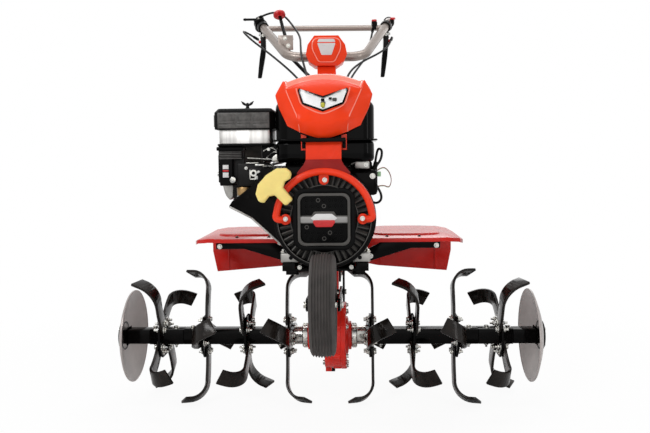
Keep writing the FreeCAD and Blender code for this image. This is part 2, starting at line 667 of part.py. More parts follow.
def make_tank():
    """The fuel tank with its seam lip, on a bracket over the engine, and the filler cap."""
    middle_y = "(tank_front + tank_back) / 2"

    def shell(name, inset, z_from, z_to):
        square = [(f"-tank_half_width + {inset}", ahead(f"tank_front + {inset}")),
                  (f"tank_half_width - ({inset})", ahead(f"tank_front + {inset}")),
                  (f"tank_half_width - ({inset})", ahead(f"tank_back - ({inset})")),
                  (f"-tank_half_width + {inset}", ahead(f"tank_back - ({inset})"))]
        return pad(name, "XY", square, z_from, z_to, "34")

    seam_top = "tank_seam_z + seam_thick"
    tank = fuse(
        "fuel_tank",
        shell("tank_under", "0", "tank_bottom", "tank_seam_z"),
        shell("tank_seam", "-seam_lip", "tank_seam_z", seam_top),
        shell("tank_upper", "0", seam_top, "tank_top"),
    )
    keep("fuel_tank", tank)
    keep("fuel_cap", rod("fuel_cap", "z", "cap_radius", "tank_top", "tank_top + cap_height",
                         ("0", ahead(f"{middle_y} + 40"))))
    keep("tank_bracket", box("tank_bracket", "-60", "60", ahead("engine_front + 20"), ahead("box_front - 20"),
                             "engine_top", "tank_bottom"))


def make_air_cleaner():
    """Lid, plated bowl and intake box at the right of the engine, and the carburettor beside it."""
    def lid_outline(grow):
        return [(f"cleaner_out - {grow}", ahead(f"cleaner_front - {grow}")),
                (f"{CLEANER_IN} + {grow}", ahead(f"cleaner_front - {grow}")),
                (f"{CLEANER_IN} + {grow}", ahead(f"cleaner_back + {grow}")),
                (f"cleaner_out - {grow}", ahead(f"cleaner_back + {grow}"))]

    keep("air_cleaner_lid", pad("air_cleaner_lid", "XY", lid_outline("0"), "cleaner_split",
                                "cleaner_top", "14"))
    keep("air_cleaner_bowl", pad("air_cleaner_bowl", "XY", lid_outline("-9"), "cleaner_bottom",
                                 "cleaner_split", "14"))
    elbow = box("intake_box", "cleaner_out + 4", "cleaner_out + 70", ahead("engine_front + 8"),
                ahead("engine_front + 60 - 0.3"), "head_bottom + 66", "cleaner_bottom")
    keep("intake_box", elbow)
    carb = fuse(
        "carburettor",
        box("carb_body", "cleaner_out + 70.4", f"{CLEANER_IN} - 12", ahead("engine_front + 12"),
            ahead("engine_front + 52"), "head_bottom + 60", "head_bottom + 124"),
        rod("carb_bowl", "z", "carb_bowl_radius", "head_bottom + 22", "head_bottom + 60",
            (f"{CLEANER_IN} - 80", ahead("engine_front + 32"))),
    )
    keep("carburettor", carb)


def make_muffler():
    """The silencer behind the air cleaner, held on the back of the cylinder head."""
    centre = ("head_out + 62", "head_top + 22")
    can = rod("muffler_can", "y", "muffler_radius", ahead("box_front - 10"),
              ahead("box_front - 10 + muffler_long"), centre)
    pipe = box("muffler_flange", "head_out + 44", "head_out + 80", ahead("box_front - 18"),
               ahead("box_front - 10"), "head_bottom + 50", "head_top - 14")
    keep("muffler", fuse("muffler", can, pipe))


# --- hood and headlight -----------------------------------------------------------------

HOOD_OUTLINE = (
    ("0", "hood_bottom"), ("0.52", "hood_bottom + 14"), ("0.8", "hood_bottom + 28"), ("1", "hood_top - 53"),
    ("0.91", "hood_top - 22"), ("0.84", "hood_top - 27"), ("0.4", "hood_top - 5"), ("0", "hood_top"),
)


def hood_prism(name, inset, wall):
    """The shield-shaped hood outline, padded along the machine."""
    half = [(f"(hood_half_width - {inset}) * {share}", height) for share, height in HOOD_OUTLINE]
    shift = [f"({height}) + {inset}" if number in (0, 1, 2) else f"({height}) - {inset}"
             for number, (_, height) in enumerate(half)]
    side = [(across, height) for (across, _), height in zip(half, shift)]
    points = side + [(f"-({across})", height) for across, height in reversed(side[1:-1])]
    return pad(name, "XZ", points, ahead(f"hood_front - 5"), ahead(f"hood_back + {wall}"))


def hood_profile(name, inset, open_below):
    """The hood's side view: a face that leans back, then the roof."""
    over_tank = f"tank_top + 10 - {open_below}"
    points = [(ahead(f"hood_front + 34 + {inset}"), f"hood_bottom - 1"),
              (ahead(f"hood_front + {inset}"), "hood_bottom + 66"),
              (ahead(f"hood_front + 66 + {inset}"), f"hood_top - 26 - {inset}"),
              (ahead(f"hood_front + 96 + {inset}"), f"hood_top + 1 - {inset}"),
              (ahead("hood_back + 20"), f"hood_top + 1 - {inset}"), (ahead("hood_back + 20"), over_tank),
              (ahead(f"tank_front - seam_lip - 4 + {open_below}"), over_tank),
              (ahead(f"tank_front - seam_lip - 4 + {open_below}"), "hood_bottom - 1")]
    return pad(name, "YZ", points, "-hood_half_width - 5", "hood_half_width + 5")


def make_hood():
    """The hood shell, open behind, with the V-shaped lamp let into its face."""
    lamp = pad(
        "lamp_prism", "XZ",
        [("0", "lamp_bottom"), ("lamp_half_width * 0.64", "lamp_bottom + 11"),
         ("lamp_half_width", "lamp_bottom + 47"), ("lamp_half_width * 0.85", "lamp_bottom + 47"),
         ("0", "lamp_bottom + 28"), ("-lamp_half_width * 0.85", "lamp_bottom + 47"),
         ("-lamp_half_width", "lamp_bottom + 47"), ("-lamp_half_width * 0.64", "lamp_bottom + 11")],
        ahead("hood_front - 10"), ahead("hood_front + 60"),
    )

    def hood_solid(tag, inset, wall):
        solid = document.addObject("Part::Common", f"hood_{tag}")
        solid.Base = hood_prism(f"hood_{tag}_prism", inset, wall)
        solid.Tool = hood_profile(f"hood_{tag}_profile", inset, wall)
        return solid

    outer = hood_solid("outer", "0", "0")
    keep("hood", cut("hood", outer, hood_solid("inner", "hood_wall", "10"), lamp))
    housing = document.addObject("Part::Common", "headlight")
    housing.Base = hood_solid("lamp_skin", "1", "0")
    housing.Tool = lamp
    trimmed = cut("headlight", housing, hood_solid("lamp_back", "hood_wall + 9", "10"))
    keep("headlight", trimmed)


# --- fenders ----------------------------------------------------------------------------


def fender_block(name, inner_end, inset, top, foot):
    """The fender's outline from above, crossed with its outline from the front. The outer end bends down."""
    out = f"fender_out - {inset}"
    front = f"fender_front + {inset}"
    back = f"fender_back - {inset}"
    crest = [(inner_end, 0), (f"{out} - fender_turn * 0.55", 0),
             (f"{out} - fender_turn * 0.2", "fender_fall / 3"), (out, "fender_fall")]
    side = pad(
        f"{name}_side", "XZ",
        [(across, f"{top} - {fall}") for across, fall in crest]
        + [(across, f"{top} - {fall} - {foot}") for across, fall in reversed(crest)],
        ahead(front), ahead(back),
    )
    plan = pad(
        f"{name}_plan", "XY",
        [(across, ahead(along)) for across, along in (
            (inner_end, front), (f"{out} - fender_turn", front),
            (f"{out} - fender_turn * 0.45", f"{front} + fender_turn * 0.13"),
            (f"{out} - fender_turn * 0.16", f"{front} + fender_turn * 0.42"),
            (out, f"{front} + fender_turn"), (out, f"{back} - fender_turn / 2"),
            (f"{out} - fender_turn * 0.12", f"{back} - fender_turn * 0.22"),
            (f"{out} - fender_turn / 2", back), (inner_end, back))],
        f"fender_top - fender_fall - {foot}", "fender_top",
    )
    block = document.addObject("Part::Common", name)
    block.Base = side
    block.Tool = plan
    return block


def make_fenders():
    """Each fender is a domed tray with a rim and a hanging apron, on a strut."""
    wall = "fender_wall"
    tray = cut(
        "fender_tray",
        fender_block("fender_skin", "fender_in", "0", "fender_top", "fender_lip"),
        fender_block("fender_hollow", f"fender_in - {wall}", wall, f"fender_top - {wall}", "fender_lip * 2"),
    )
    apron = pad(
        "fender_apron", "XZ",
        [("fender_in", f"fender_top - {wall}"), ("fender_out - fender_turn", f"fender_top - {wall}"),
         ("fender_out", "fender_top - fender_fall - fender_lip"), ("fender_out", "apron_bottom + 60"),
         ("fender_out - 12", "apron_bottom"), ("fender_in + 30", "apron_bottom + 16"),
         ("fender_in", "apron_bottom + 22")],
        ahead(f"fender_back - {wall}"), ahead("fender_back"),
    )
    left = fuse("fender_left", tray, apron)
    keep("fender_left", left)
    keep("fender_right", mirror("fender_right", left))
    strut = pad(
        "fender_strut", "XZ",
        [("frame_half_width", "frame_bottom"), ("frame_half_width", "frame_bottom + plate_thick + 26"),
         ("fender_in + 44", "fender_top - fender_wall"),
         ("fender_out - fender_turn + 18", "fender_top - fender_wall"),
         ("fender_out - fender_turn + 18", "fender_top - fender_wall - 24"),
         ("fender_in + 104", "fender_top - fender_wall - 24")],
        ahead("fender_front + fender_wall + 12"), ahead("fender_front + fender_wall + 17"),
    )
    keep("fender_strut_left", strut)
    keep("fender_strut_right", mirror("fender_strut_right", strut))


# --- hitch and depth stake --------------------------------------------------------------


def make_hitch():
    """The drawbar bracket behind the gear case, with the depth stake in its slot."""
    gap = "fit_gap"
    arm = box("hitch_arm", "-hitch_half_width", "hitch_half_width", ahead("leg_half_depth"),
              ahead("hitch_back"), "hitch_z - 18", "hitch_z + 18")
    riser = box("hitch_riser", "-hitch_half_width", "hitch_half_width", ahead("box_back"),
                ahead("hitch_back"), "hitch_z + 18", "leg_top + 60")
    slot = box("stake_slot", f"-stake_thick / 2 - {gap}", f"stake_thick / 2 + {gap}",
               ahead(f"stake_y - stake_width / 2 - {gap}"), ahead(f"stake_y + stake_width / 2 + {gap}"),
               "hitch_z - 30", "leg_top + 80")
    pin_hole = rod("hitch_bore", "z", "hitch_pin_radius", "hitch_z - 30", "leg_top + 80",
                   ("0", ahead("box_back + 60")))
    clamp_line = ("0", "hitch_z + 60")
    clamp_hole = rod("clamp_hole", "y", "clamp_radius + ring_gap", ahead("stake_y"), ahead("hitch_back"),
                     clamp_line)
    keep("hitch_bracket", cut("hitch_bracket", fuse("hitch_welded", arm, riser), slot, pin_hole, clamp_hole))
    clamp = fuse(
        "stake_clamp",
        rod("clamp_screw", "y", "clamp_radius", ahead("stake_y + stake_width / 2"), ahead("hitch_back + 30"),
            clamp_line),
        rod("clamp_bar", "x", "clamp_radius", "-30", "30", (ahead("hitch_back + 24"), "hitch_z + 60")),
    )
    keep("stake_clamp", clamp)
    stake = box("depth_stake", "-stake_thick / 2", "stake_thick / 2", ahead("stake_y - stake_width / 2"),
                ahead("stake_y + stake_width / 2"), "0", "stake_top")
    keep("depth_stake", stake)


# --- handle -----------------------------------------------------------------------------


def make_handle_post():
    """The swivel plate on the transmission, with the two ears that hold the handle stem."""
    post = rod("post_round", "z", "post_radius", "box_top", "box_top + post_height", ("0", ahead("swivel_y")))
    ears = []
    for side, sign in (("left", 1), ("right", -1)):
        near, far = (YOKE, f"{YOKE} + 8") if sign == 1 else (f"-{YOKE} - 8", f"-{YOKE}")
        ears.append(box(f"post_ear_{side}", near, far, ahead("swivel_y - 22"), ahead("swivel_y + 22"),
                        "box_top + post_height", "tilt_z + 22"))
    hole = rod("post_holes", "x", "bolt_radius", f"-{YOKE} - 8", f"{YOKE} + 8",
               (ahead("swivel_y"), "tilt_z"))
    keep("handle_post", on_handle(cut("handle_post", fuse("post_welded", post, *ears), hole)))
    pivot = (ahead("swivel_y"), "tilt_z")
    bolt = fuse(
        "handle_bolt",
        rod("handle_shank", "x", "bolt_radius", f"-{YOKE} - 8", f"{YOKE} + 8", pivot),
        rod("handle_head", "x", "bolt_radius + 5", f"{YOKE} + 8", f"{YOKE} + 16", pivot),
        rod("handle_nut", "x", "bolt_radius + 5", f"-{YOKE} - 16", f"-{YOKE} - 8", pivot),
    )
    keep("handle_bolt", on_handle(bolt))


def handlebar_path():
    """The bar's centre line on the left side, from the console out to the grip's end."""
    return [
        Vector(0, size(ahead("console_y")), size("console_z")),
        Vector(size("bend_x"), size(ahead("console_y + 10")), size("console_z + 6")),
        Vector(size("shoulder_x"), size(ahead("shoulder_y")), size("shoulder_z")),
        Vector(size("shoulder_x + 6"), size(ahead("shoulder_y + grip_run")), size("shoulder_z + grip_rise")),
    ]


def make_handle():
    """Stem, console, bent bar with its cross bar, and the grips."""
    half = "stem_width / 2"
    stem_back = "console_y + 28"
    stem = pad(
        "stem_body", "YZ",
        [(ahead("swivel_y - 20"), "tilt_z - 20"), (ahead("swivel_y + 20"), "tilt_z - 20"),
         (ahead(f"{stem_back}"), "console_z - 26"), (ahead(f"{stem_back}"), "console_z + 4"),
         (ahead("console_y - 26"), "console_z - 16"), (ahead("swivel_y - 20"), "tilt_z + 24")],
        f"-{half}", half,
    )
    hole = rod("stem_hole", "x", "bolt_radius + fit_gap", f"-{half}", half, (ahead("swivel_y"), "tilt_z"))
    left_path = handlebar_path()
    right_path = [Vector(-point.x, point.y, point.z) for point in left_path]
    path = list(reversed(right_path[1:])) + left_path[1:]
    bar = bent_tube(path, size("bar_radius"), size("bend_radius"))
    bar_piece = feature("handlebar_tube", bar)
    cross = rod("cross_bar", "x", "cross_radius", "-212", "212", (ahead("cross_y"), "cross_z"))
    clear_radius = size("bar_radius + fit_gap")
    bar_clear = feature("bar_clearance", bent_tube(path, clear_radius, size("bend_radius")))
    gate = fuse(
        "shift_gate",
        box("gate_plate", "-gate_x - 28", "-gate_x + 22", ahead("gate_y - 32"), ahead("gate_y - 28"),
            "gate_z - 30", "gate_z + 18"),
        box("gate_shelf", "-gate_x - 28", "-gate_x + 22", ahead("gate_y - 32"), ahead("gate_y + 40"),
            "gate_z + 14", "gate_z + 18"),
    )
    gate_slot = box("gate_slot", "-gate_x - 10 - shift_rod_radius", "-gate_x + 6 + shift_rod_radius",
                    ahead("gate_y - 6"), ahead("gate_y + 28"), "gate_z + 10", "gate_z + 22")
    open_gate = cut("open_gate", gate, gate_slot)
    keep("handlebar", on_handle(fuse("handlebar", bar_piece, cross, open_gate)))
    keep("handle_stem", on_handle(cut("handle_stem", stem, hole, bar_clear)))
    console = pad(
        "console_body", "XZ",
        [("-34", "console_z - 30"), ("34", "console_z - 30"), ("console_half_width - 10", "console_z - 16"),
         ("console_half_width", "console_z + 6"), ("console_half_width - 6", "console_z + 36"),
         ("38", "console_z + 64"), ("-38", "console_z + 64"), ("-console_half_width + 6", "console_z + 36"),
         ("-console_half_width", "console_z + 6"), ("-console_half_width + 10", "console_z - 16")],
        ahead("console_y - 52"), ahead("console_y + 40"),
    )
    stem_clear = pad(
        "stem_clearance", "YZ",
        [(ahead("swivel_y - 20"), "tilt_z - 20"), (ahead("swivel_y + 20"), "tilt_z - 20"),
         (ahead(f"{stem_back}"), "console_z - 26"), (ahead(f"{stem_back}"), "console_z + 4"),
         (ahead("console_y - 26"), "console_z - 16"), (ahead("swivel_y - 20"), "tilt_z + 24")],
        f"-{half}", half,
    )
    keep("handle_console", on_handle(cut("handle_console", console, bar_clear, stem_clear)))
    grips = []
    for sign in (1, -1):
        end = Vector(left_path[-1].x * sign, left_path[-1].y, left_path[-1].z)
        knee = Vector(left_path[-2].x * sign, left_path[-2].y, left_path[-2].z)
        back = (knee - end).normalize()
        outer = Part.makeCylinder(size("grip_radius"), size("grip_long"), end - back * 6, back)
        inner = Part.makeCylinder(size("bar_radius"), size("grip_long"), end, back)
        grips.append(outer.cut(inner))
    keep("handle_grips", on_handle(feature("handle_grips", Part.makeCompound(grips))))


def bar_point(y):
    """A point on the left bar's centre line, between the bend and the shoulder, at one place along Y."""
    bend, shoulder = handlebar_path()[1:3]
    return bend + (shoulder - bend) * ((size(ahead(y)) - bend.y) / (shoulder.y - bend.y))


def block(centre, length, depth, height):
    """A plain block about its centre."""
    corner = centre - Vector(length / 2, depth / 2, height / 2)
    return Part.makeBox(length, depth, height, corner)


def both_sides(shape):
    """A shape and its mirror image on the other side of the handle."""
    return [shape, shape.mirror(Vector(), Vector(1, 0, 0))]


SQUARE = ((-1, -1), (1, -1), (1, 1), (-1, 1))


def make_levers():
    """The clutch and reverse levers, which hang from clamps under the bar near the grips."""
    run = handlebar_path()
    along = (run[2] - run[1]).normalize()
    middle = bar_point("lever_y")
    half = size("clamp_long") / 2
    ring_outer = Part.makeCylinder(size("bar_radius + 5"), 2 * half, middle - along * half, along)
    ring_inner = Part.makeCylinder(size("bar_radius + ring_gap"), 6 * half, middle - along * 3 * half, along)
    hang = middle + Vector(0, 0, -size("bar_radius + 31"))
    fork = block(hang, 18, 26, 56)
    left, right = both_sides(ring_outer.fuse(fork))
    bores = both_sides(ring_inner)
    clamps = [left.fuse(ferrule("reverse")).cut(bores[0]), right.fuse(ferrule("clutch")).cut(bores[1])]
    keep("lever_clamps", on_handle(feature("lever_clamps", Part.makeCompound(clamps))))
    top = hang + Vector(0, 0, -28)
    sections = []
    stations = ((0, 0, 22, 16), (36, 10, 24, 17), (72, 24, 20, 15), (109, 32, 14, 12))
    for drop, forward, width, thick in stations:
        centre = top + Vector(0, -forward, -drop)
        corners = [centre + Vector(x * thick / 2, y * width / 2, 0) for x, y in SQUARE]
        sections.append(Part.makePolygon(corners + corners[:1]))
    lever = Part.makeLoft(sections, True, True)
    keep("clutch_levers", on_handle(feature("clutch_levers", Part.makeCompound(both_sides(lever)))))


def make_shift_lever():
    """The gear lever with its ball knob, and the rod that runs down beside the stem to the pivot bolt."""
    knob_at = Vector(-size("knob_x"), size(ahead("knob_y")), size("knob_z"))
    gate_at = Vector(-size("gate_x"), size(ahead("gate_y")), size("gate_z"))
    eye_x = size(f"{YOKE} + 16 + fit_gap")
    eye_at = Vector(-eye_x - 5, size(ahead("swivel_y")), size("tilt_z"))
    beside = eye_at + Vector(-6, 44, 42)
    below_gate = gate_at + Vector(12, -22, -52)
    under_console = Vector(-size("rod_side_x"), size(ahead("console_y + 8")), size("console_z - 68"))
    outside_x = -size("stem_width / 2 + clip_wing + shift_rod_radius + 5")
    outside_clip = Vector(outside_x, size(ahead("clip_y + 20")), size("clip_z + 16"))
    route = [knob_at, gate_at, below_gate, under_console, outside_clip, beside, eye_at + Vector(0, 8, 7)]
    rod_shape = bent_tube(route, size("shift_rod_radius"), 24)
    eye = Part.makeCylinder(size("bolt_radius + 7"), 10, eye_at - Vector(5, 0, 0), Vector(1, 0, 0))
    eye_hole = Part.makeCylinder(size("bolt_radius + fit_gap"), 10, eye_at - Vector(5, 0, 0), Vector(1, 0, 0))
    lever = rod_shape.fuse(eye).cut(eye_hole)
    keep("shift_lever", on_handle(feature("shift_lever", lever)))
    knob = Part.makeSphere(size("knob_radius"), knob_at)
    keep("shift_knob", on_handle(feature("shift_knob", knob.cut(rod_shape))))


def make_bar_controls():
    """The throttle collar on the right-hand bar and the stop switch on the cross bar."""
    run = handlebar_path()
    along = (run[2] - run[1]).normalize()
    middle = bar_point("collar_y")
    half = size("clamp_long") / 2
    collar = Part.makeCylinder(size("bar_radius + 7"), 2 * half, middle - along * half, along)
    inner = Part.makeCylinder(size("bar_radius + ring_gap"), 6 * half, middle - along * 3 * half, along)
    thumb = block(middle + Vector(34, -4, 18), 44, 14, 6)
    collar = collar.fuse(thumb).mirror(Vector(), Vector(1, 0, 0)).fuse(ferrule("throttle"))
    throttle = collar.cut(inner.mirror(Vector(), Vector(1, 0, 0)))
    keep("throttle_lever", on_handle(feature("throttle_lever", throttle)))
    foot = Vector(size("switch_x"), size(ahead("cross_y")), size("cross_z"))
    switch = block(foot + Vector(0, 0, size("cross_radius") + 3), 20, 20, 10)
    switch = switch.fuse(Part.makeCylinder(9, 16, foot + Vector(0, 0, size("cross_radius"))))
    saddle = Part.makeCylinder(size("cross_radius + ring_gap"), 40, foot - Vector(20, 0, 0), Vector(1, 0, 0))
    switch = switch.fuse(block(foot + Vector(-2, -14, 4), 14, 10, 24)).fuse(ferrule("switch"))
    keep("stop_switch", on_handle(feature("stop_switch", switch.cut(saddle))))


# Each cable's route as (side, ahead of the axle, height), from its lever down to the clip on the stem.
CABLE_ROUTES = {
    "throttle": [(-224, 734, 1158), (-182, 712, 1172), (-140, 682, 1150), (-108, 624, 1102), (-84, 552, 1056),
                 (-82, 478, 1016), (-80, 424, 978), (-70, 388, 936), (-56, 340, 884), (-44, 284, 822),
                 (-41, 236, 764), (-37, 190, 716)],
    "clutch": [(-254, 736, 1086), (-278, 712, 1098), (-289, 668, 1096), (-256, 630, 1060), (-208, 582, 1019),
               (-158, 528, 974), (-108, 460, 924), (-68, 376, 872), (-58, 310, 822), (-52, 246, 762),
               (-49, 190, 703)],
    "reverse": [(236, 704, 1066), (222, 652, 1036), (182, 600, 1004), (120, 533, 969), (72, 452, 926),
                (52, 360, 862), (50, 290, 800), (48, 238, 750), (50, 190, 703)],
    "switch": [(168, 684, 1092), (156, 650, 1042), (138, 604, 990), (108, 532, 950), (78, 450, 905),
               (54, 366, 846), (44, 300, 800), (40, 240, 757), (38, 190, 716)],
}
# The same cables' tails from the clip, as (right, forward, up) from the start of each run.
TAIL_ROUTES = {
    "throttle": [(-74, 104, 686), (-92, 40, 662), (-114, -30, 640), (-130, -96, 638), (-138, -152.2, 633)],
    "clutch": [(-62, 148, 660), (-64, 112, 618), (-56, 84, 592), (-50, 70, 561.3)],
    "reverse": [(44, 148, 660), (58, 112, 618), (54, 84, 592), (50, 70, 561.3)],
    "switch": [(44, 126, 688), (76, 60, 664), (104, -10, 642), (122, -70, 614), (116, -106, 584),
               (90.2, -114, 569)],
}


def cable_points(name):
    """One upper cable's points in the handle's own frame."""
    return [Vector(x, size(ahead(y)), z) for x, y, z in CABLE_ROUTES[name]]


def ferrule(name):
    """The sleeve that a cable leaves its lever by, which ends where the cable starts."""
    start, onward = cable_points(name)[:2]
    direction = (onward - start).normalize()
    length = size("ferrule_long")
    return Part.makeCylinder(size("ferrule_radius"), length, start - direction * length, direction)


def slewed(point):
    """Where a point of the handle's own frame stands while the handle is at rest."""
    pivot = Vector(0, size(ahead("swivel_y")), 0)
    return pivot + Rotation(Vector(0, 0, 1), size("handle_slew")).multVec(point - pivot)


def make_cables():
    """Four cables clipped along the stem, the clip, and the tails that cross the handle's joints."""
    radius = size("cable_radius")
    upper = [flowing_tube(cable_points(name), radius, name) for name in CABLE_ROUTES]
    held = Part.makeCompound(upper + [cable_clip()])
    keep("control_cables", on_handle(feature("control_cables", held)))
    tails = []
    for name, route in TAIL_ROUTES.items():
        before, start = [slewed(point) for point in cable_points(name)[-2:]]
        leave = start + (start - before).normalize() * 16
        points = [start, leave] + [Vector(x, size(ahead(y)), z) for x, y, z in route]
        tails.append(flowing_tube(points, radius, f"{name} tail"))
    keep("cable_tails", feature("cable_tails", Part.makeCompound(tails)))


def cable_clip():
    """The plate across the stem that the cables pass through, in one wing on each side."""
    wing = size("clip_wing")
    half = size("stem_width") / 2
    thick = size("clip_thick")
    bottom = size("clip_z - clip_half_height")
    corner = Vector(-half - wing, size(ahead("clip_y")), bottom)
    plate = Part.makeBox(2 * (half + wing), thick, size("2 * clip_half_height"), corner)
    stem_hole = Part.makeBox(2 * half, thick, size("2 * clip_half_height"), corner + Vector(wing, 0, 0))
    bore = size("cable_radius + ring_gap")
    holes = [flowing_tube(cable_points(name), bore) for name in CABLE_ROUTES]
    return plate.cut(Part.makeCompound([stem_hole] + holes))


# The lighting lead's loop and the thin pair beside it, on the left of the engine: (side, ahead, height).
WIRING_ROUTES = {
    "lead": [(88, -146, 570), (104, -146, 570), (113, -144, 598), (119, -142, 626), (122, -142, 652),
             (127, -144, 673), (137, -152, 668), (134, -162, 645), (119, -168, 626), (114, -170, 602),
             (122, -168, 582),
             (134, -162, 562), (134, -156, 545), (120, -152, 537), (104, -150, 548), (88, -150, 548)],
    "pair": [(120.6, -166, 616), (137, -158, 629), (153, -154, 617), (160, -152, 595), (154, -150, 575),
             (140, -154, 583), (125.6, -163, 580)],
}


def make_wiring():
    """The lamp's lead, looped once beside the tank, and the thin pair that leaves it."""
    shapes = []
    for name, radius in (("lead", size("cable_radius - 0.5")), ("pair", size("pair_radius"))):
        points = [Vector(x, size(ahead(y)), z) for x, y, z in WIRING_ROUTES[name]]
        shapes.append(flowing_tube(points, radius, name))
    keep("lamp_wiring", feature("lamp_wiring", Part.makeCompound(shapes)))


def flowing_tube(points, radius, name=None):
    """A round cable along straight runs, with each bend as large as its two runs allow.

    With a name, it prints each bend's radius and compares the volume with section times length."""
    edges = []
    start = points[0]
    for before, corner, after in zip(points, points[1:], points[2:]):
        toward = before - corner
        onward = after - corner
        reach = 0.45 * min(toward.Length, onward.Length)
        toward.normalize()
        onward.normalize()
        half = toward.getAngle(onward) / 2
        bend = reach * math.tan(half)
        middle = corner + (toward + onward).normalize() * (bend / math.sin(half) - bend)
        edges.append(Part.LineSegment(start, corner + toward * reach).toShape())
        edges.append(Part.Arc(corner + toward * reach, middle, corner + onward * reach).toShape())
        start = corner + onward * reach
        if name:
            print(f"cable {name}: bend radius {bend:.0f}")
    edges.append(Part.LineSegment(start, points[-1]).toShape())
    section = Part.Wire([Part.Circle(points[0], points[1] - points[0], radius).toShape()])
    path = Part.Wire(edges)
    tube = path.makePipeShell([section], True, False)
    expected = math.pi * radius ** 2 * path.Length
    if abs(tube.Volume / expected - 1) > 0.01:
        raise RuntimeError(f"a cable of {path.Length:.0f} mm has {tube.Volume / expected:.3f} of its volume")
    if name:
        print(f"cable {name}: {path.Length:.0f} mm long")
    return tube


def check_all():
    """Stop if any object failed or any sub-part has no valid solid."""
    document.recompute()
    for item in document.Objects:
        if "Invalid" in item.State or "Error" in item.State:
            raise RuntimeError(f"{item.Name}: {item.State}")
    for node, piece in subparts:
        if piece.Shape.isNull() or not piece.Shape.isValid() or not piece.Shape.Solids:
            raise RuntimeError(f"{node} has no valid solid")


def main():
    """Build every sub-part, check it and write its file."""
    make_final_drive()
    make_transmission()
    make_rotor_tubes()
    make_guard_discs()
    make_tines()
    make_base_frame()
    make_wheel_fork()
    make_wheel()
    make_engine_block()
    make_fan_housing()
    make_recoil_starter()
    make_front_guard()
    make_tank()
    make_air_cleaner()
    make_muffler()
    make_hood()
    make_fenders()
    make_hitch()
    make_handle_post()
    make_handle()
    make_levers()
    make_shift_lever()
    make_bar_controls()
    make_cables()
    make_wiring()
    check_all()
    os.makedirs("parts", exist_ok=True)
    for node, piece in subparts:
        piece.Shape.exportStep(f"parts/{node}.step")
        print(node, len(piece.Shape.Solids), round(piece.Shape.Volume / 1000, 1), piece.Shape.BoundBox)


main()
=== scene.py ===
"""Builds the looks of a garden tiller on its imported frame: every piece, finish, lamp and the camera."""

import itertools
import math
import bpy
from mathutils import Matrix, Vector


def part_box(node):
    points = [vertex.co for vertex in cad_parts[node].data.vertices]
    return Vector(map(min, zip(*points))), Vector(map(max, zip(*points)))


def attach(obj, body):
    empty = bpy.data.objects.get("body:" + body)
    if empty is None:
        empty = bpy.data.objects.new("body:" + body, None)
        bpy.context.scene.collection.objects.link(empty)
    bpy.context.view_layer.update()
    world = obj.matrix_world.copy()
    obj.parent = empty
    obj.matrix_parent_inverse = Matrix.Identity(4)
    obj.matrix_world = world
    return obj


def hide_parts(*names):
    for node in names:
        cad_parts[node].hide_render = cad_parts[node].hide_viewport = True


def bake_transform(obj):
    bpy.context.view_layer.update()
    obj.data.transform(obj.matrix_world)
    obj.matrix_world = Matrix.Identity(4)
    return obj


bl_info = {
    "name": "Garden Tiller Looks",
    "version": (1, 0, 0),
    "blender": (4, 5, 0),
    "location": "View3D > Sidebar > Tiller",
    "description": "Builds the finished pieces of a garden tiller around its engineering model",
    "category": "Object",
}

import bmesh
import bpy
from mathutils import Matrix, Vector

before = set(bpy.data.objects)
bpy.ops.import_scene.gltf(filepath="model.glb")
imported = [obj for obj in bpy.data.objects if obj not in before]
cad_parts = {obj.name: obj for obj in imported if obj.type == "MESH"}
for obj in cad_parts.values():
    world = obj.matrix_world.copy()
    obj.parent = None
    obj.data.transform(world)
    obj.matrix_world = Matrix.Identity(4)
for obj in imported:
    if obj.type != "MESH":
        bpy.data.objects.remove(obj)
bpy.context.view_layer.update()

MM = 0.001
# Points of a mesh that are nearer than this, in metres, are one point.
MERGE = 0.00001
# The rotor's axle: places along the machine are counted from it.
AXLE = (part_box("rotor_shaft")[0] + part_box("rotor_shaft")[1]) / 2
AXLE_Z = AXLE.z / MM
CRANK_Z = 513
CRANK = (0, 0, CRANK_Z)
SHAFT = (0, 0, AXLE_Z)
# Places of the wheel's fork, Y and Z in millimetres.
FORK_PIVOT, WHEEL_BOLT = (-140, 318), (-400, 337)
WHEEL_HUB = (0, *WHEEL_BOLT)
# The handle turns about the swivel post and tilts about its bolt; at rest it stands a little aslant.
SWIVEL_Y = 110
TILT_Z = 640
SLEW = Matrix.Rotation(math.radians(3), 3, "Z")
FRONT, BACK, UP, DOWN = (0, -1, 0), (0, 1, 0), (0, 0, 1), (0, 0, -1)
SIDES = (1, -1)
HANDS = ((1, "left"), (-1, "right"))


def place(x, y, z):
    """A point of the frame in metres, from millimetres, with Y counted from the rotor's axle."""
    return Vector((x * MM, y * MM + AXLE.y, z * MM))


def reach(node):
    """A node's lowest and highest corners in millimetres, with Y counted from the rotor's axle."""
    low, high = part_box(node)
    shift = Vector((0, AXLE.y, 0))
    return (low - shift) / MM, (high - shift) / MM


def centre(node):
    """The middle of a node's box in millimetres, with Y counted from the rotor's axle."""
    low, high = reach(node)
    return (low + high) / 2


# --- settings ----------------------------------------------------------------------------


def colour_setting(name, description, code):
    """A colour that a user may change, from its sRGB hex value."""
    return bpy.props.FloatVectorProperty(
        name=name, description=description, subtype="COLOR", size=3, min=0, max=1, default=linear(code))


def linear(code):
    """The linear red, green and blue of an sRGB hex value such as "c8201e"."""
    parts = [int(code[start:start + 2], 16) / 255 for start in (0, 2, 4)]
    return tuple(part / 12.92 if part <= 0.04045 else ((part + 0.055) / 1.055) ** 2.4 for part in parts)


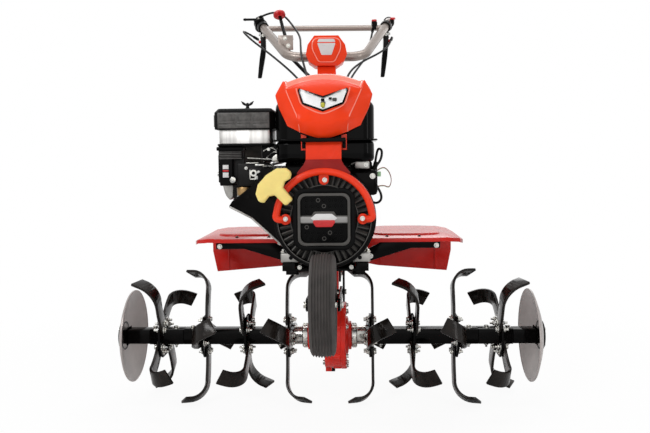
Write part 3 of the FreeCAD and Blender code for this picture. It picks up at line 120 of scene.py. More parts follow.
class TillerColours(bpy.types.PropertyGroup):
    """The machine's colours."""

    hood: colour_setting("Hood", "Moulded plastic of the hood and console", "f54018")
    sheet: colour_setting("Sheet steel", "Powder coat of fenders, guard and brackets", "c91d14")
    casting: colour_setting("Gear case", "Paint on the gear cases", "d8281c")
    enamel: colour_setting("Rotor enamel", "Black enamel of rotor, frame and cowl", "080707")
    handle: colour_setting("Handlebar", "Metallic paint of the handlebar", "968b84")
    disc: colour_setting("Guard discs", "Satin paint of the plant guard discs", "aaa29f")
    pull: colour_setting("Starter handle", "Moulded plastic of the starter handle", "f7df86")


class TillerSizes(bpy.types.PropertyGroup):
    """Sizes of the small parts, in metres."""

    edge: bpy.props.FloatProperty(
        name="Edge rounding", description="Radius on the edges of steel parts", default=0.0009,
        min=0.0001, max=0.004, unit="LENGTH")
    bolt_flats: bpy.props.FloatProperty(
        name="Tine bolt", description="Width across the flats of the tine bolts", default=0.011,
        min=0.006, max=0.02, unit="LENGTH")
    tyre_groove: bpy.props.FloatProperty(
        name="Tyre groove", description="Depth of the grooves round the tyre", default=0.0025,
        min=0.0005, max=0.006, unit="LENGTH")
    louvre_count: bpy.props.IntProperty(
        name="Starter louvres", description="Number of blades round the starter", default=44,
        min=12, max=90)
    grip_ribs: bpy.props.IntProperty(
        name="Grip ribs", description="Number of ribs along each grip", default=16, min=4, max=40)
    cable_radius: bpy.props.FloatProperty(
        name="Cable radius", description="Outer radius of the control cables", default=0.0035,
        min=0.001, max=0.006, unit="LENGTH")


def colours():
    """The colours that the scene holds."""
    return bpy.context.scene.tiller_colours


def sizes():
    """The sizes that the scene holds."""
    return bpy.context.scene.tiller_sizes


# --- finishes ----------------------------------------------------------------------------


def add_node(tree, kind, links=(), **settings):
    """Adds one node, sets its sockets or properties, and links (socket, source) pairs into it."""
    node = tree.nodes.new(kind)
    for key, setting in settings.items():
        socket = key.replace("_", " ").title()
        if hasattr(node, key):
            setattr(node, key, setting)
        else:
            node.inputs[socket].default_value = setting
    for socket, source in links:
        tree.links.new(source, node.inputs[socket])
    return node


def set_range(node, from_min, from_max, to_min, to_max):
    """Sets both ranges of a Map Range node."""
    names = ("From Min", "From Max", "To Min", "To Max")
    for socket, setting in zip(names, (from_min, from_max, to_min, to_max)):
        node.inputs[socket].default_value = setting


def new_finish(name, colour, roughness, metallic=0.0, **sockets):
    """A finish of one colour; returns the material, its tree, its shader and its coordinates."""
    material = bpy.data.materials.new(name)
    material.use_nodes = True
    tree = material.node_tree
    shader = tree.nodes["Principled BSDF"]
    shader.inputs["Base Color"].default_value = (*colour, 1)
    shader.inputs["Roughness"].default_value = roughness
    shader.inputs["Metallic"].default_value = metallic
    for key, setting in sockets.items():
        shader.inputs[key.replace("_", " ").title().replace("Ior", "IOR")].default_value = setting
    material.diffuse_color = (*colour, 1)
    coords = add_node(tree, "ShaderNodeTexCoord").outputs["Object"]
    return material, tree, shader, coords


def mottle(tree, shader, coords, colour, patch_mm, lighter, darker, roughness, bump_mm=0.0,
           grain_mm=4.0):
    """Uneven colour in patches, uneven gloss and a fine relief, as paints and mouldings have."""
    patches = add_node(tree, "ShaderNodeTexNoise", [("Vector", coords)], scale=1000 / patch_mm,
                       detail=5.0, roughness=0.6)
    ramp = add_node(tree, "ShaderNodeValToRGB", [("Fac", patches.outputs["Fac"])])
    ramp.color_ramp.elements[0].position = 0.3
    ramp.color_ramp.elements[1].position = 0.7
    ramp.color_ramp.elements[0].color = (*[part * darker for part in colour], 1)
    ramp.color_ramp.elements[1].color = (*[min(1, part * lighter) for part in colour], 1)
    tree.links.new(ramp.outputs["Color"], shader.inputs["Base Color"])
    gloss = add_node(tree, "ShaderNodeMapRange", [("Value", patches.outputs["Fac"])])
    set_range(gloss, 0.25, 0.75, *roughness)
    tree.links.new(gloss.outputs["Result"], shader.inputs["Roughness"])
    if bump_mm:
        grain = add_node(tree, "ShaderNodeTexNoise", [("Vector", coords)], scale=1000 / grain_mm,
                         detail=3.0)
        bump = add_node(tree, "ShaderNodeBump", [("Height", grain.outputs["Fac"])], strength=1.0,
                        distance=bump_mm * MM)
        tree.links.new(bump.outputs["Normal"], shader.inputs["Normal"])
    return ramp


def plain(name, colour, gloss, patches, relief=(0.0, 4.0), metallic=0.0, patch_tone_and_sheen=None, **sockets):
    """A finish of one colour, a setting's name or a hex value, with patches, gloss and relief."""
    def make():
        shade = getattr(colours(), colour) if hasattr(colours(), colour) else linear(colour)
        material, tree, shader, coords = new_finish(name, shade, gloss[0], metallic, **sockets)
        ramp = mottle(tree, shader, coords, shade, *patches, gloss, *relief)
        if patch_tone_and_sheen:
            ramp.color_ramp.elements[1].color = (*linear(patch_tone_and_sheen), 1)
        return material
    make.__name__ = name
    return make


# Injection-moulded ABS with a polished mould face: even orange red, soft wide reflections.
hood_abs = plain("Gloss ABS, orange red", "hood", (0.2, 0.28), (90, 1.04, 0.94), (0.03, 9), ior=1.5,
                 specular_ior_level=0.13)
# The same moulding, glossier and in a lighter red that paints the highlight on its edges, its creases and
# the lamp's rim.
hood_painted_highlight = plain("Gloss ABS, bright edge", "ff7f66", (0.1, 0.16), (60, 1.05, 0.95),
                  specular_ior_level=1.0)
# Epoxy powder coat on sheet steel: a slight orange peel of 1 to 2 mm, drawn at 5 mm to show.
powder_red = plain("Powder coat, signal red", "sheet", (0.18, 0.28), (60, 1.06, 0.88), (0.05, 5),
                   specular_ior_level=0.26)
# The guard's tube is coated like the sheet, a little more orange, with the weld heat smoothed over.
guard_red = plain("Powder coat, orange red", "ee3a1a", (0.14, 0.22), (50, 1.05, 0.88), (0.04, 5),
                  specular_ior_level=0.22)
# Gloss paint over a sand casting: the casting's grit, 1 to 3 mm, still shows through the paint.
cast_red = plain("Gloss paint on cast iron", "casting", (0.24, 0.38), (35, 1.08, 0.8), (0.35, 3.5),
                 specular_ior_level=0.25)
# The same red, dull, and darkened to paint the shade under the hood on the guard's flare plate.
painted_shade_red = plain("Powder coat, in a fold", "8f1410", (0.4, 0.5), (30, 1.1, 0.8), specular_ior_level=0.2)
# Stoved gloss enamel on steel: deep black with a faint, narrow sheen and dust-fine unevenness.
black_enamel = plain("Stoved black enamel", "enamel", (0.1, 0.2), (45, 1.5, 0.6), (0.04, 4),
                     specular_ior_level=0.055)
# Forged spring steel in thin black lacquer, drawn streaks; its brown-grey patches, spread at random,
# paint the brownish sheen on the lacquer.
tine_lacquer = plain("Lacquered spring steel", "0e0b0a", (0.12, 0.24), (28, 2.2, 0.6), (0.12, 6), 0.1,
                     "241e1a", specular_ior_level=0.2)
# Bright zinc with a clear passivate: silver with a faint yellow cast in patches.
zinc_plate = plain("Bright zinc plate", "b0b2b4", (0.18, 0.36), (9, 1.1, 0.7), (0.02, 2), 1.0, "dcd9cf")
# Pressure die-cast aluminium, unpainted: pale grey, matt, with flow marks a few centimetres long.
die_cast = plain("Die-cast aluminium", "a9a7a3", (0.38, 0.56), (30, 1.15, 0.7), (0.12, 2.5), 1.0)
# Die-cast aluminium under a thin heat-resisting black paint: the cylinder and crankcase.
dark_cast = plain("Heat-resisting black on aluminium", "100f0f", (0.34, 0.5), (25, 1.5, 0.65),
                  (0.15, 2.5), specular_ior_level=0.16)
# Moulded polypropylene with a spark-eroded grain of about 0.5 mm, drawn at 2 mm: satin black.
black_abs = plain("Satin black polypropylene", "080808", (0.28, 0.4), (40, 1.5, 0.7), (0.08, 2),
                  specular_ior_level=0.06)
# The faces of the air cleaner's lid and the intake's ribs: the same plastic with a coarser grain, in a
# dark grey that paints the light falling on these faces.
painted_light_abs = plain("Grained black polypropylene", "4a4846", (0.3, 0.4), (12, 1.5, 0.6), (0.1, 2),
                specular_ior_level=0.4)
# The same plastic in mid grey: the starter's bezel, louvres and badge.
grey_abs = plain("Satin grey ABS", "4d4b48", (0.28, 0.4), (40, 1.1, 0.88), (0.05, 2),
                 specular_ior_level=0.25)
# Silver lacquer sprayed on plastic: the band and badge on the starter.
silver_print = plain("Silver lacquer", "918f8d", (0.3, 0.4), (12, 1.06, 0.9), metallic=0.3)
# Blank polyester label with a satin varnish.
pale_label = plain("Blank polyester label", "dcdbda", (0.26, 0.36), (18, 1.02, 0.93))
# Pressed tank under thick gloss black: the deepest black on the machine, with a faint, sharp sheen.
tank_black = plain("Gloss black tank", "040404", (0.06, 0.12), (80, 1.4, 0.8), (0.03, 12),
                   specular_ior_level=0.06)
# Vulcanised rubber with the mould's bloom: dark grey, matt, dusty in the grooves.
tyre_rubber = plain("Vulcanised tyre rubber", "3f3b39", (0.5, 0.7), (26, 1.35, 0.65), (0.1, 2),
                    specular_ior_level=0.3)
# Soft PVC slipped over the bar: black, matt, slightly greasy where held.
grip_rubber = plain("Soft PVC grip", "121212", (0.36, 0.56), (22, 1.4, 0.8), (0.06, 1.6),
                    specular_ior_level=0.25)
# Metallic paint, fine aluminium flake in warm grey. Flakes are 0.05 mm, drawn at 1.5 mm.
handle_paint = plain("Metallic paint, warm grey", "handle", (0.24, 0.36), (1.5, 1.15, 0.84), (0.03, 5),
                     0.6)
# Moulded polyethylene in pale yellow, a little light passing under its skin.
pull_plastic = plain("Pale yellow polyethylene", "pull", (0.36, 0.48), (30, 1.03, 0.93), (0.05, 3),
                     subsurface_weight=0.12, subsurface_scale=0.004, specular_ior_level=0.3)
# Phenolic ball knob, pressed and buffed.
knob_red = plain("Buffed red phenolic", "c8161a", (0.12, 0.22), (14, 1.1, 0.85), specular_ior_level=0.5)
# Extruded PVC sheath: satin, with a faint lengthwise unevenness.
cable_pvc = plain("Black PVC sheath", "0e0e0f", (0.28, 0.42), (16, 1.25, 0.8), (0.03, 3),
                  specular_ior_level=0.25)
# Thin PVC leads of the lamp, dull red and pale green.
red_wire = plain("Red PVC lead", "8e3a34", (0.34, 0.46), (16, 1.2, 0.8))
green_wire = plain("Green PVC lead", "9fc79a", (0.34, 0.46), (16, 1.1, 0.85))
# The bulb's warm glass, seen through the lens.
amber_lamp = plain("Warm bulb glass", "b9b32c", (0.15, 0.3), (6, 1.1, 0.8))
# Machined brass of the carburettor's bowl and jets, dulled by fuel.
brass = plain("Dull brass", "9a7d55", (0.28, 0.45), (10, 1.15, 0.7), metallic=1.0)
# Silencer shell in aluminised steel: grey, blotched by heat in patches of a few centimetres.
heat_steel = plain("Heat-stained aluminised steel", "302e2c", (0.36, 0.58), (34, 1.6, 0.6), (0.1, 3),
                   0.5, "4d4741")
# Seamless white paper under the machine.
floor_paper = plain("White studio paper", "fdfdfd", (0.6, 0.62), (400, 1.0, 0.995))


def disc_paint():
    # Pressed steel plate in thin satin grey-brown paint; the press leaves faint rings 14 mm apart.
    colour = colours().disc
    material, tree, shader, coords = new_finish("Satin paint on pressed steel", colour, 0.34,
                                                metallic=0.3, specular_ior_level=0.4)
    mottle(tree, shader, coords, colour, 70, 1.16, 0.82, (0.28, 0.42), 0.05, 8)
    split = add_node(tree, "ShaderNodeVectorMath", [("Vector", coords)], operation="SUBTRACT")
    split.inputs[1].default_value = (0, AXLE.y, AXLE.z)
    flat = add_node(tree, "ShaderNodeVectorMath", [("Vector", split.outputs["Vector"])],
                    operation="MULTIPLY")
    flat.inputs[1].default_value = (0, 1, 1)
    length = add_node(tree, "ShaderNodeVectorMath", [("Vector", flat.outputs["Vector"])],
                      operation="LENGTH")
    turn = add_node(tree, "ShaderNodeMath", [(0, length.outputs["Value"])], operation="MULTIPLY")
    turn.inputs[1].default_value = 2 * math.pi / (14 * MM)
    wave = add_node(tree, "ShaderNodeMath", [(0, turn.outputs["Value"])], operation="SINE")
    bump = add_node(tree, "ShaderNodeBump", [("Height", wave.outputs["Value"])], strength=1.0,
                    distance=0.04 * MM)
    tree.links.new(bump.outputs["Normal"], shader.inputs["Normal"])
    return material


def brushed_band():
    # Stainless band rolled from thin strip, satin: its soft upright waves, about 3 cm wide, are painted
    # into its colour as light and dark streaks of reflection.
    material, tree, shader, coords = new_finish("Satin stainless strip", linear("aba8a4"), 0.3,
                                                metallic=1.0, anisotropic=0.5)
    stretch = add_node(tree, "ShaderNodeMapping", [("Vector", coords)])
    stretch.inputs["Scale"].default_value = (30, 30, 1)
    lines = add_node(tree, "ShaderNodeTexNoise", [("Vector", stretch.outputs["Vector"])], scale=1.0,
                     detail=4.0)
    ramp = add_node(tree, "ShaderNodeValToRGB", [("Fac", lines.outputs["Fac"])])
    ramp.color_ramp.elements[0].position = 0.36
    ramp.color_ramp.elements[1].position = 0.6
    ramp.color_ramp.elements[0].color = (*linear("7f7c79"), 1)
    ramp.color_ramp.elements[1].color = (*linear("f4f2ef"), 1)
    tree.links.new(ramp.outputs["Color"], shader.inputs["Base Color"])
    return material


def clear_lens():
    # Injection-moulded polycarbonate, optically clear, hard-coated.
    material, tree, shader, coords = new_finish("Clear polycarbonate", linear("fbfbfb"), 0.03, ior=1.4,
                                                transmission_weight=1.0)
    ripple = add_node(tree, "ShaderNodeTexNoise", [("Vector", coords)], scale=160.0, detail=1.0)
    bump = add_node(tree, "ShaderNodeBump", [("Height", ripple.outputs["Fac"])], distance=0.05 * MM)
    tree.links.new(bump.outputs["Normal"], shader.inputs["Normal"])
    return material


def reflector():
    # Vacuum-metallised bowl behind the lens: bright, a little clouded, with a facetted pillow of 8 mm.
    material, tree, shader, coords = new_finish("Metallised reflector", linear("fafafa"), 0.34,
                                                metallic=0.9)
    cells = add_node(tree, "ShaderNodeTexVoronoi", [("Vector", coords)], scale=125.0)
    bump = add_node(tree, "ShaderNodeBump", [("Height", cells.outputs["Distance"])], distance=0.4 * MM)
    tree.links.new(bump.outputs["Normal"], shader.inputs["Normal"])
    return material


# The materials made so far, each under its finish's name.
finishes = {}


def finish(make):
    """The material that one of the functions above makes, made once."""
    if make.__name__ not in finishes:
        finishes[make.__name__] = make()
    return finishes[make.__name__]


# --- shapes ------------------------------------------------------------------------------


def soften(shape, width, steps=2, angle=28, edges=None):
    """Rounds the sharp edges of a shape; the width is in millimetres."""
    if edges is None:
        edges = [edge for edge in shape.edges
                 if len(edge.link_faces) == 2 and edge.calc_face_angle(0) > math.radians(angle)]
    if width and edges:
        bmesh.ops.bevel(shape, geom=edges, offset=width * MM, offset_type="OFFSET", segments=steps,
                        profile=0.5, affect="EDGES", clamp_overlap=True, material=-1)
    return shape


def everything(shape):
    """All the corners, edges and faces of a shape."""
    return shape.verts[:] + shape.edges[:] + shape.faces[:]


def moved(shape, by):
    """Shifts a shape by a step in metres."""
    bmesh.ops.translate(shape, vec=by, verts=shape.verts)
    return shape


def rotated(shape, angle, axis):
    """Turns a shape about one of the axes."""
    bmesh.ops.rotate(shape, cent=(0, 0, 0), matrix=Matrix.Rotation(angle, 3, axis), verts=shape.verts)
    return shape


def thickened(shape, by):
    """Gives a shape's faces thickness along a step in metres."""
    made = bmesh.ops.extrude_face_region(shape, geom=shape.faces[:])
    verts = [item for item in made["geom"] if isinstance(item, bmesh.types.BMVert)]
    bmesh.ops.translate(shape, vec=by, verts=verts)
    bmesh.ops.recalc_face_normals(shape, faces=shape.faces)
    return shape


def round_corners(shape, verts, radius, steps):
    """Rounds the corners of a flat outline; the radius is in millimetres."""
    bmesh.ops.bevel(shape, geom=verts, offset=radius * MM, offset_type="OFFSET", segments=steps,
                    profile=0.5, affect="VERTICES", clamp_overlap=True, material=-1)


def edges_above(shape, height):
    """The edges of a shape that lie wholly above a height in millimetres."""
    return [edge for edge in shape.edges
            if min(vert.co.z for vert in edge.verts) > height * MM and len(edge.link_faces) == 2]


def around(count, radius, start=45.0, step=None):
    """Points round a circle in millimetres, spread evenly unless a step in degrees is given."""
    step = step or 360 / count
    angles = [math.radians(start + step * turn) for turn in range(count)]
    return [(radius * math.cos(angle), radius * math.sin(angle)) for angle in angles]


def cube(size):
    """A cube about the origin, of the given sizes in metres."""
    shape = bmesh.new()
    bmesh.ops.create_cube(shape, size=1)
    bmesh.ops.scale(shape, vec=size, verts=shape.verts)
    return shape


def cone(sides, radius, end_radius, length, lift=0.0):
    """A prism or cone along Z in millimetres, its middle lifted off the origin."""
    shape = bmesh.new()
    bmesh.ops.create_cone(shape, cap_ends=True, segments=sides, radius1=radius * MM,
                          radius2=end_radius * MM, depth=length * MM)
    return moved(shape, (0, 0, lift * MM))


def block(low, high, rounding=1.0, steps=2):
    """A softened block between two corners in millimetres."""
    low, high = place(*low), place(*high)
    return soften(moved(cube(high - low), (low + high) / 2), rounding, steps)


def stand(shape, at, toward):
    """Turns a shape made along Z so that it stands at a point and looks along a direction."""
    turn = Vector(UP).rotation_difference(Vector(toward).normalized()).to_matrix()
    bmesh.ops.rotate(shape, cent=(0, 0, 0), matrix=turn, verts=shape.verts)
    return moved(shape, at)


def bar(start, end, radius, sides=32, rounding=0.6):
    """A round bar between two points in millimetres."""
    start, end = place(*start), place(*end)
    shape = cone(sides, radius, radius, (end - start).length / MM)
    return stand(soften(shape, rounding, angle=40), (start + end) / 2, end - start)


def turned(profile, at, toward, steps=64, closed=False):
    """A profile of (along, radius) pairs in millimetres, spun about the line from a point."""
    shape = bmesh.new()
    verts = [shape.verts.new((radius * MM, 0, along * MM)) for along, radius in profile]
    edges = [shape.edges.new(pair) for pair in zip(verts, verts[1:])]
    if closed:
        edges.append(shape.edges.new((verts[-1], verts[0])))
    bmesh.ops.spin(shape, geom=verts + edges, cent=(0, 0, 0), axis=(0, 0, 1), angle=2 * math.pi,
                   steps=steps, use_merge=True)
    bmesh.ops.remove_doubles(shape, verts=shape.verts, dist=MERGE)
    bmesh.ops.recalc_face_normals(shape, faces=shape.faces)
    return stand(shape, place(*at), toward)


PLANES = {
    "XZ": lambda u, v, depth: place(u, depth, v),
    "YZ": lambda u, v, depth: place(depth, u, v),
    "XY": lambda u, v, depth: place(u, v, depth),
}


def plate(plane, outline, start, end, corner=0.0, rounding=0.8, steps=2, arc_steps=4):
    """An outline in one plane, its corners rounded, given thickness from start to end."""
    shape = bmesh.new()
    verts = [shape.verts.new(PLANES[plane](u, v, start)) for u, v in outline]
    shape.faces.new(verts)
    if corner:
        round_corners(shape, verts, corner, arc_steps)
    thickened(shape, PLANES[plane](0, 0, end) - PLANES[plane](0, 0, start))
    return soften(shape, rounding, steps)


def frame_plate(outer, inner, y_from, y_to, corner, rounding=0.8):
    """A square ring in the XZ plane between two half widths, about the crankshaft."""
    shape = bmesh.new()
    rings = []
    for half, radius in ((outer, corner), (inner, corner - (outer - inner) * 0.5)):
        part = bmesh.new()
        verts = [part.verts.new(place(u * half, y_from, CRANK_Z + v * half))
                 for u, v in ((-1, -1), (1, -1), (1, 1), (-1, 1))]
        part.faces.new(verts)
        round_corners(part, verts, radius, 6)
        loop = [vert.co.copy() for vert in part.faces[:][0].verts]
        part.free()
        made = [shape.verts.new(point) for point in loop]
        rings += [shape.edges.new(pair) for pair in zip(made, made[1:] + made[:1])]
    bmesh.ops.bridge_loops(shape, edges=rings)
    return soften(thickened(shape, (0, (y_to - y_from) * MM, 0)), rounding)


def ball(at, radius, stretch=(1, 1, 1), sides=24):
    """A ball about a point in millimetres, stretched along the axes."""
    shape = bmesh.new()
    bmesh.ops.create_uvsphere(shape, u_segments=sides, v_segments=sides // 2, radius=radius * MM)
    bmesh.ops.scale(shape, vec=stretch, verts=shape.verts)
    return moved(shape, place(*at))


def smooth_line(points, radius, sides=12):
    """A round cable along the smooth spline that a row of points in millimetres controls."""
    curve = bpy.data.curves.new("line", "CURVE")
    curve.dimensions = "3D"
    spline = curve.splines.new("NURBS")
    spline.points.add(len(points) - 1)
    for knot, point in zip(spline.points, points):
        knot.co = (*place(*point), 1)
    spline.order_u = 3
    spline.use_endpoint_u = True
    spline.resolution_u = 8
    curve.bevel_depth = radius * MM
    curve.bevel_resolution = max(1, sides // 4 - 1)
    curve.use_fill_caps = True
    holder = bpy.data.objects.new("line", curve)
    mesh = bpy.data.meshes.new_from_object(holder)
    shape = bmesh.new()
    shape.from_mesh(mesh)
    bpy.data.objects.remove(holder)
    bpy.data.meshes.remove(mesh)
    bpy.data.curves.remove(curve)
    return shape


def copied(node, edge=None, steps=2, angle=28, flat=0.6):
    """A merged copy of a node's mesh with its sharp edges rounded; edge is in millimetres."""
    shape = bmesh.new()
    shape.from_mesh(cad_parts[node].data)
    bmesh.ops.remove_doubles(shape, verts=shape.verts, dist=MERGE)
    bmesh.ops.dissolve_limit(shape, angle_limit=math.radians(flat), verts=shape.verts,
                             edges=shape.edges)
    width = sizes().edge / MM if edge is None else edge
    return soften(shape, width, steps, angle)


def joined(whole, shape):
    """A shape with another added to it."""
    mesh = bpy.data.meshes.new("part")
    shape.to_mesh(mesh)
    shape.free()
    whole.from_mesh(mesh)
    bpy.data.meshes.remove(mesh)
    return whole


def slewed(shape):
    """Turns a shape made on the handle's own straight-ahead frame to where the handle stands."""
    bmesh.ops.rotate(shape, cent=place(0, SWIVEL_Y, 0), matrix=SLEW, verts=shape.verts)
    return shape


def bolt(at, toward, flats=10.0, tall=4.5, washer=1.5, stud=0.0):
    """A hexagon head or nut on its washer, standing on a face; stud is the thread past it."""
    corner = flats / math.sqrt(3)
    shape = soften(cone(6, corner, corner, tall, washer + tall / 2), flats * 0.06, 1, 20)
    if washer:
        shape = joined(shape, cone(20, flats * 0.86, flats * 0.84, washer, washer / 2))
    if stud:
        thread = cone(12, flats * 0.29, flats * 0.27, stud, washer + tall + stud / 2)
        shape = joined(shape, soften(thread, 0.4, 1, 50))
    return stand(shape, place(*at), toward)


class Piece:
    """One visible piece: its shapes, each with a finish, and then the object made of them."""

    def __init__(self, name):
        self.name = name
        self.mesh = bmesh.new()
        self.finishes = []

    def add(self, make, *shapes):
        """Adds shapes in one finish, or in several that the faces' own numbers choose between."""
        slots = []
        for material in [finish(one) for one in (make if isinstance(make, tuple) else (make,))]:
            if material not in self.finishes:
                self.finishes.append(material)
            slots.append(self.finishes.index(material))
        for shape in shapes:
            for face in shape.faces:
                face.material_index = slots[min(face.material_index, len(slots) - 1)]
            joined(self.mesh, shape)
        return self

    def bolts(self, spots, toward, *measures):
        """Adds zinc-plated bolts that stand on a face; the measures are those of bolt()."""
        return self.add(zinc_plate, *[bolt(spot, toward, *measures) for spot in spots])

    def done(self, body, slot, replaces=(), angle=34):
        """Makes the object, smooth except at its sharp edges, and puts it on a body."""
        mesh = bpy.data.meshes.new(self.name)
        self.mesh.to_mesh(mesh)
        self.mesh.free()
        for material in self.finishes:
            mesh.materials.append(material)
        mesh.shade_smooth()
        mesh.set_sharp_from_angle(angle=math.radians(angle))
        thing = bpy.data.objects.new(self.name, mesh)
        bpy.context.scene.collection.objects.link(thing)
        if body:
            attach(thing, body)
        if replaces:
            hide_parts(*replaces)
        return thing


def finished(node, make, body, slot, edge=None, steps=2, angle=28):
    """A node's own shape with rounded edges and a finish."""
    Piece(f"{node}_finished").add(make, copied(node, edge, steps, angle)).done(body, slot, [node])


# --- tine rotor --------------------------------------------------------------------------

# The flanges' distances from the machine's middle, and the turn in degrees of each one's first tine.
FLANGES = [108 + 114.5 * index for index in range(4)]
OUTWARD = (90, -45, 0, 45)
# How far the tine bolts stand from the axle, and half the gap between the two of a pair.
BOLT_RING, BOLT_HALF_GAP = 43, 10.5


def tine_bolts(index, side):
    """The bolts and nuts that hold four tines to one flange."""
    shapes = []
    flats = sizes().bolt_flats / MM
    for turn, way in ((0, 1), (180, 1), (90, -1), (270, -1)):
        angle = math.radians(OUTWARD[index] + turn)
        radial = Vector((0, -math.sin(angle), math.cos(angle)))
        across = Vector((0, math.cos(angle), math.sin(angle)))
        for shift in (-BOLT_HALF_GAP, BOLT_HALF_GAP):
            spot = radial * BOLT_RING + across * shift
            head = (side * (FLANGES[index] - way * 10), spot.y, AXLE_Z + spot.z)
            nut = (side * (FLANGES[index] + way * 3), spot.y, AXLE_Z + spot.z)
            shapes.append(bolt(head, (-side * way, 0, 0), flats, 5, 1.5))
            shapes.append(bolt(nut, (side * way, 0, 0), flats, 5.5, 2, 7))
    return shapes


def cross_pin(x, half=20):
    """A bolt right through the square tube, head above and nut below."""
    return [bolt((x, 0, AXLE_Z + half), UP, 11, 5, 1.5),
            bolt((x, 0, AXLE_Z - half), DOWN, 11, 5, 1.5, 6)]


def weld_bead(x, half=20.5):
    """The fillet of weld where a flange meets the tube."""
    bead = bmesh.new()
    bmesh.ops.create_cone(bead, cap_ends=False, segments=4, radius1=(half + 4) * MM * math.sqrt(2),
                          radius2=half * MM * math.sqrt(2), depth=4 * MM)
    rotated(bead, math.pi / 4, "Z")
    return stand(bead, place(x, 0, AXLE_Z), (1 if x > 0 else -1, 0, 0))


class TILLER_OT_rotor(bpy.types.Operator):
    """Axle, square tubes, flanges and their bolts"""

    bl_idname = "tiller.rotor"
    bl_label = "Rotor tubes"

    def execute(self, context):
        finished("rotor_shaft", zinc_plate, "tine_rotor", "zinc")
        for side, hand in HANDS:
            inner = Piece(f"rotor_inner_{hand}").add(black_enamel, copied(f"inner_rotor_{hand}", 1.2))
            outer = Piece(f"rotor_outer_{hand}").add(black_enamel, copied(f"outer_rotor_{hand}", 1.2))
            for index in range(4):
                piece = inner if index < 3 else outer
                piece.add(zinc_plate, *tine_bolts(index, side))
                piece.add(black_enamel, weld_bead(side * (FLANGES[index] + 5)))
            inner.add(zinc_plate, *cross_pin(side * 136), *cross_pin(side * 371))
            outer.add(zinc_plate, *cross_pin(side * 418), *cross_pin(side * 474))
            inner.done("tine_rotor", "black_paint", [f"inner_rotor_{hand}"])
            outer.done("tine_rotor", "black_paint", [f"outer_rotor_{hand}"])
        return {"FINISHED"}


class TILLER_OT_tines(bpy.types.Operator):
    """Forged tines with worn edges"""

    bl_idname = "tiller.tines"
    bl_label = "Tines"

    def execute(self, context):
        for hand in ("left", "right"):
            for half in ("inner", "outer"):
                finished(f"tines_{hand}_{half}", tine_lacquer, "tine_rotor", "black_paint", edge=1.4,
                         steps=3, angle=40)
        return {"FINISHED"}


def disc_profile(thick):
    """The dished plate's section from rim to centre, as (along, radius) pairs."""
    steps = [124, 122, 116, 106, 95, 84, 73, 62, 52, 43, 34, 26, 18, 9, 0]
    front = [(530 + 32 * (1 - (radius / 124) ** 1.67), radius) for radius in steps]
    front[0] = (529.5, 123)
    return front if not thick else [(along + thick, radius) for along, radius in reversed(front)]


class TILLER_OT_guard_discs(bpy.types.Operator):
    """Dished discs that keep the rotor off the plants"""

    bl_idname = "tiller.guard_discs"
    bl_label = "Guard discs"

    def execute(self, context):
        for side, hand in HANDS:
            profile = disc_profile(0) + disc_profile(3)
            piece = Piece(f"disc_{hand}")
            piece.add(disc_paint, turned(profile, SHAFT, (side, 0, 0), 96, closed=True))
            boss = [(557, 34), (557.5, 40), (564, 40), (566, 37), (566, 0)]
            piece.add(black_enamel, turned(boss, SHAFT, (side, 0, 0), 48))
            for half, start, end, rounding in ((19, 486, 559, 1.5), (15.4, 437, 487, 1)):
                low, high = (side * start, -half, AXLE_Z - half), (side * end, half, AXLE_Z + half)
                piece.add(black_enamel, block(low, high, rounding))
            piece.add(black_enamel, weld_bead(side * 549, 19))
            piece.bolts([(side * 565, y, AXLE_Z + z) for y, z in around(4, 29)], (side, 0, 0), 8, 3, 1)
            piece.done("tine_rotor", "disc_paint", [f"guard_disc_{hand}"], angle=30)
        return {"FINISHED"}


# --- gear cases --------------------------------------------------------------------------


class TILLER_OT_final_drive(bpy.types.Operator):
    """Cast case round the axle with its cover, rim bolts and ring nuts"""

    bl_idname = "tiller.final_drive"
    bl_label = "Final drive"

    def execute(self, context):
        case = Piece("final_drive_body").add(cast_red, copied("final_drive_case", 3, 3))
        case.add(cast_red, block((-34, -50, 361), (34, 50, 372), 2.5))
        case.add(cast_red, block((-4, -60, 210), (4, -34, 366), 3))
        case.add(cast_red, block((-4, 34, 210), (4, 60, 366), 3))
        case.bolts([(x, y, 361) for x in (-27, 27) for y in (-44, 44)], DOWN, 9, 4, 1)
        case.bolts([(-12, -30, AXLE_Z - 66)], (-1, 0, 0), 12, 5, 1.5)
        cover = Piece("final_drive_lid").add(cast_red, copied("final_drive_cover", 2.2, 3))
        for y, z in around(9, 81, -152, 38):
            case.add(cast_red, bar((10, y, AXLE_Z + z), (30, y, AXLE_Z + z), 8.5, 20, 1.5))
            cover.add(cast_red, bar((30, y, AXLE_Z + z), (44.5, y, AXLE_Z + z), 8.5, 20, 1.5))
            cover.bolts([(44.5, y, AXLE_Z + z)], (1, 0, 0), 9, 4.5, 1.2)
        ring = [(42, 52), (48, 50), (50, 44), (50, 38)]
        cover.add(cast_red, turned(ring, SHAFT, (1, 0, 0), 64))
        case.done("chassis", "cast_red", ["final_drive_case"])
        cover.done("chassis", "cast_red", ["final_drive_cover"])
        nuts = Piece("ring_nuts")
        for side in SIDES:
            profile = [(58, 24.6), (58, 30), (59.5, 31.5), (71, 31.5), (73, 30), (73, 24.6)]
            nuts.add(zinc_plate, turned(profile, SHAFT, (side, 0, 0), 48, closed=True))
            for turn in range(8):
                lug = moved(block((-5.5, -3, -2), (5.5, 3, 2), 0.8),
                            (side * 65.5 * MM, -AXLE.y, 31.6 * MM))
                nuts.add(zinc_plate, moved(rotated(lug, math.radians(45 * turn), "X"), AXLE))
        nuts.done("chassis", "zinc", ["axle_ring_nuts"])
        return {"FINISHED"}


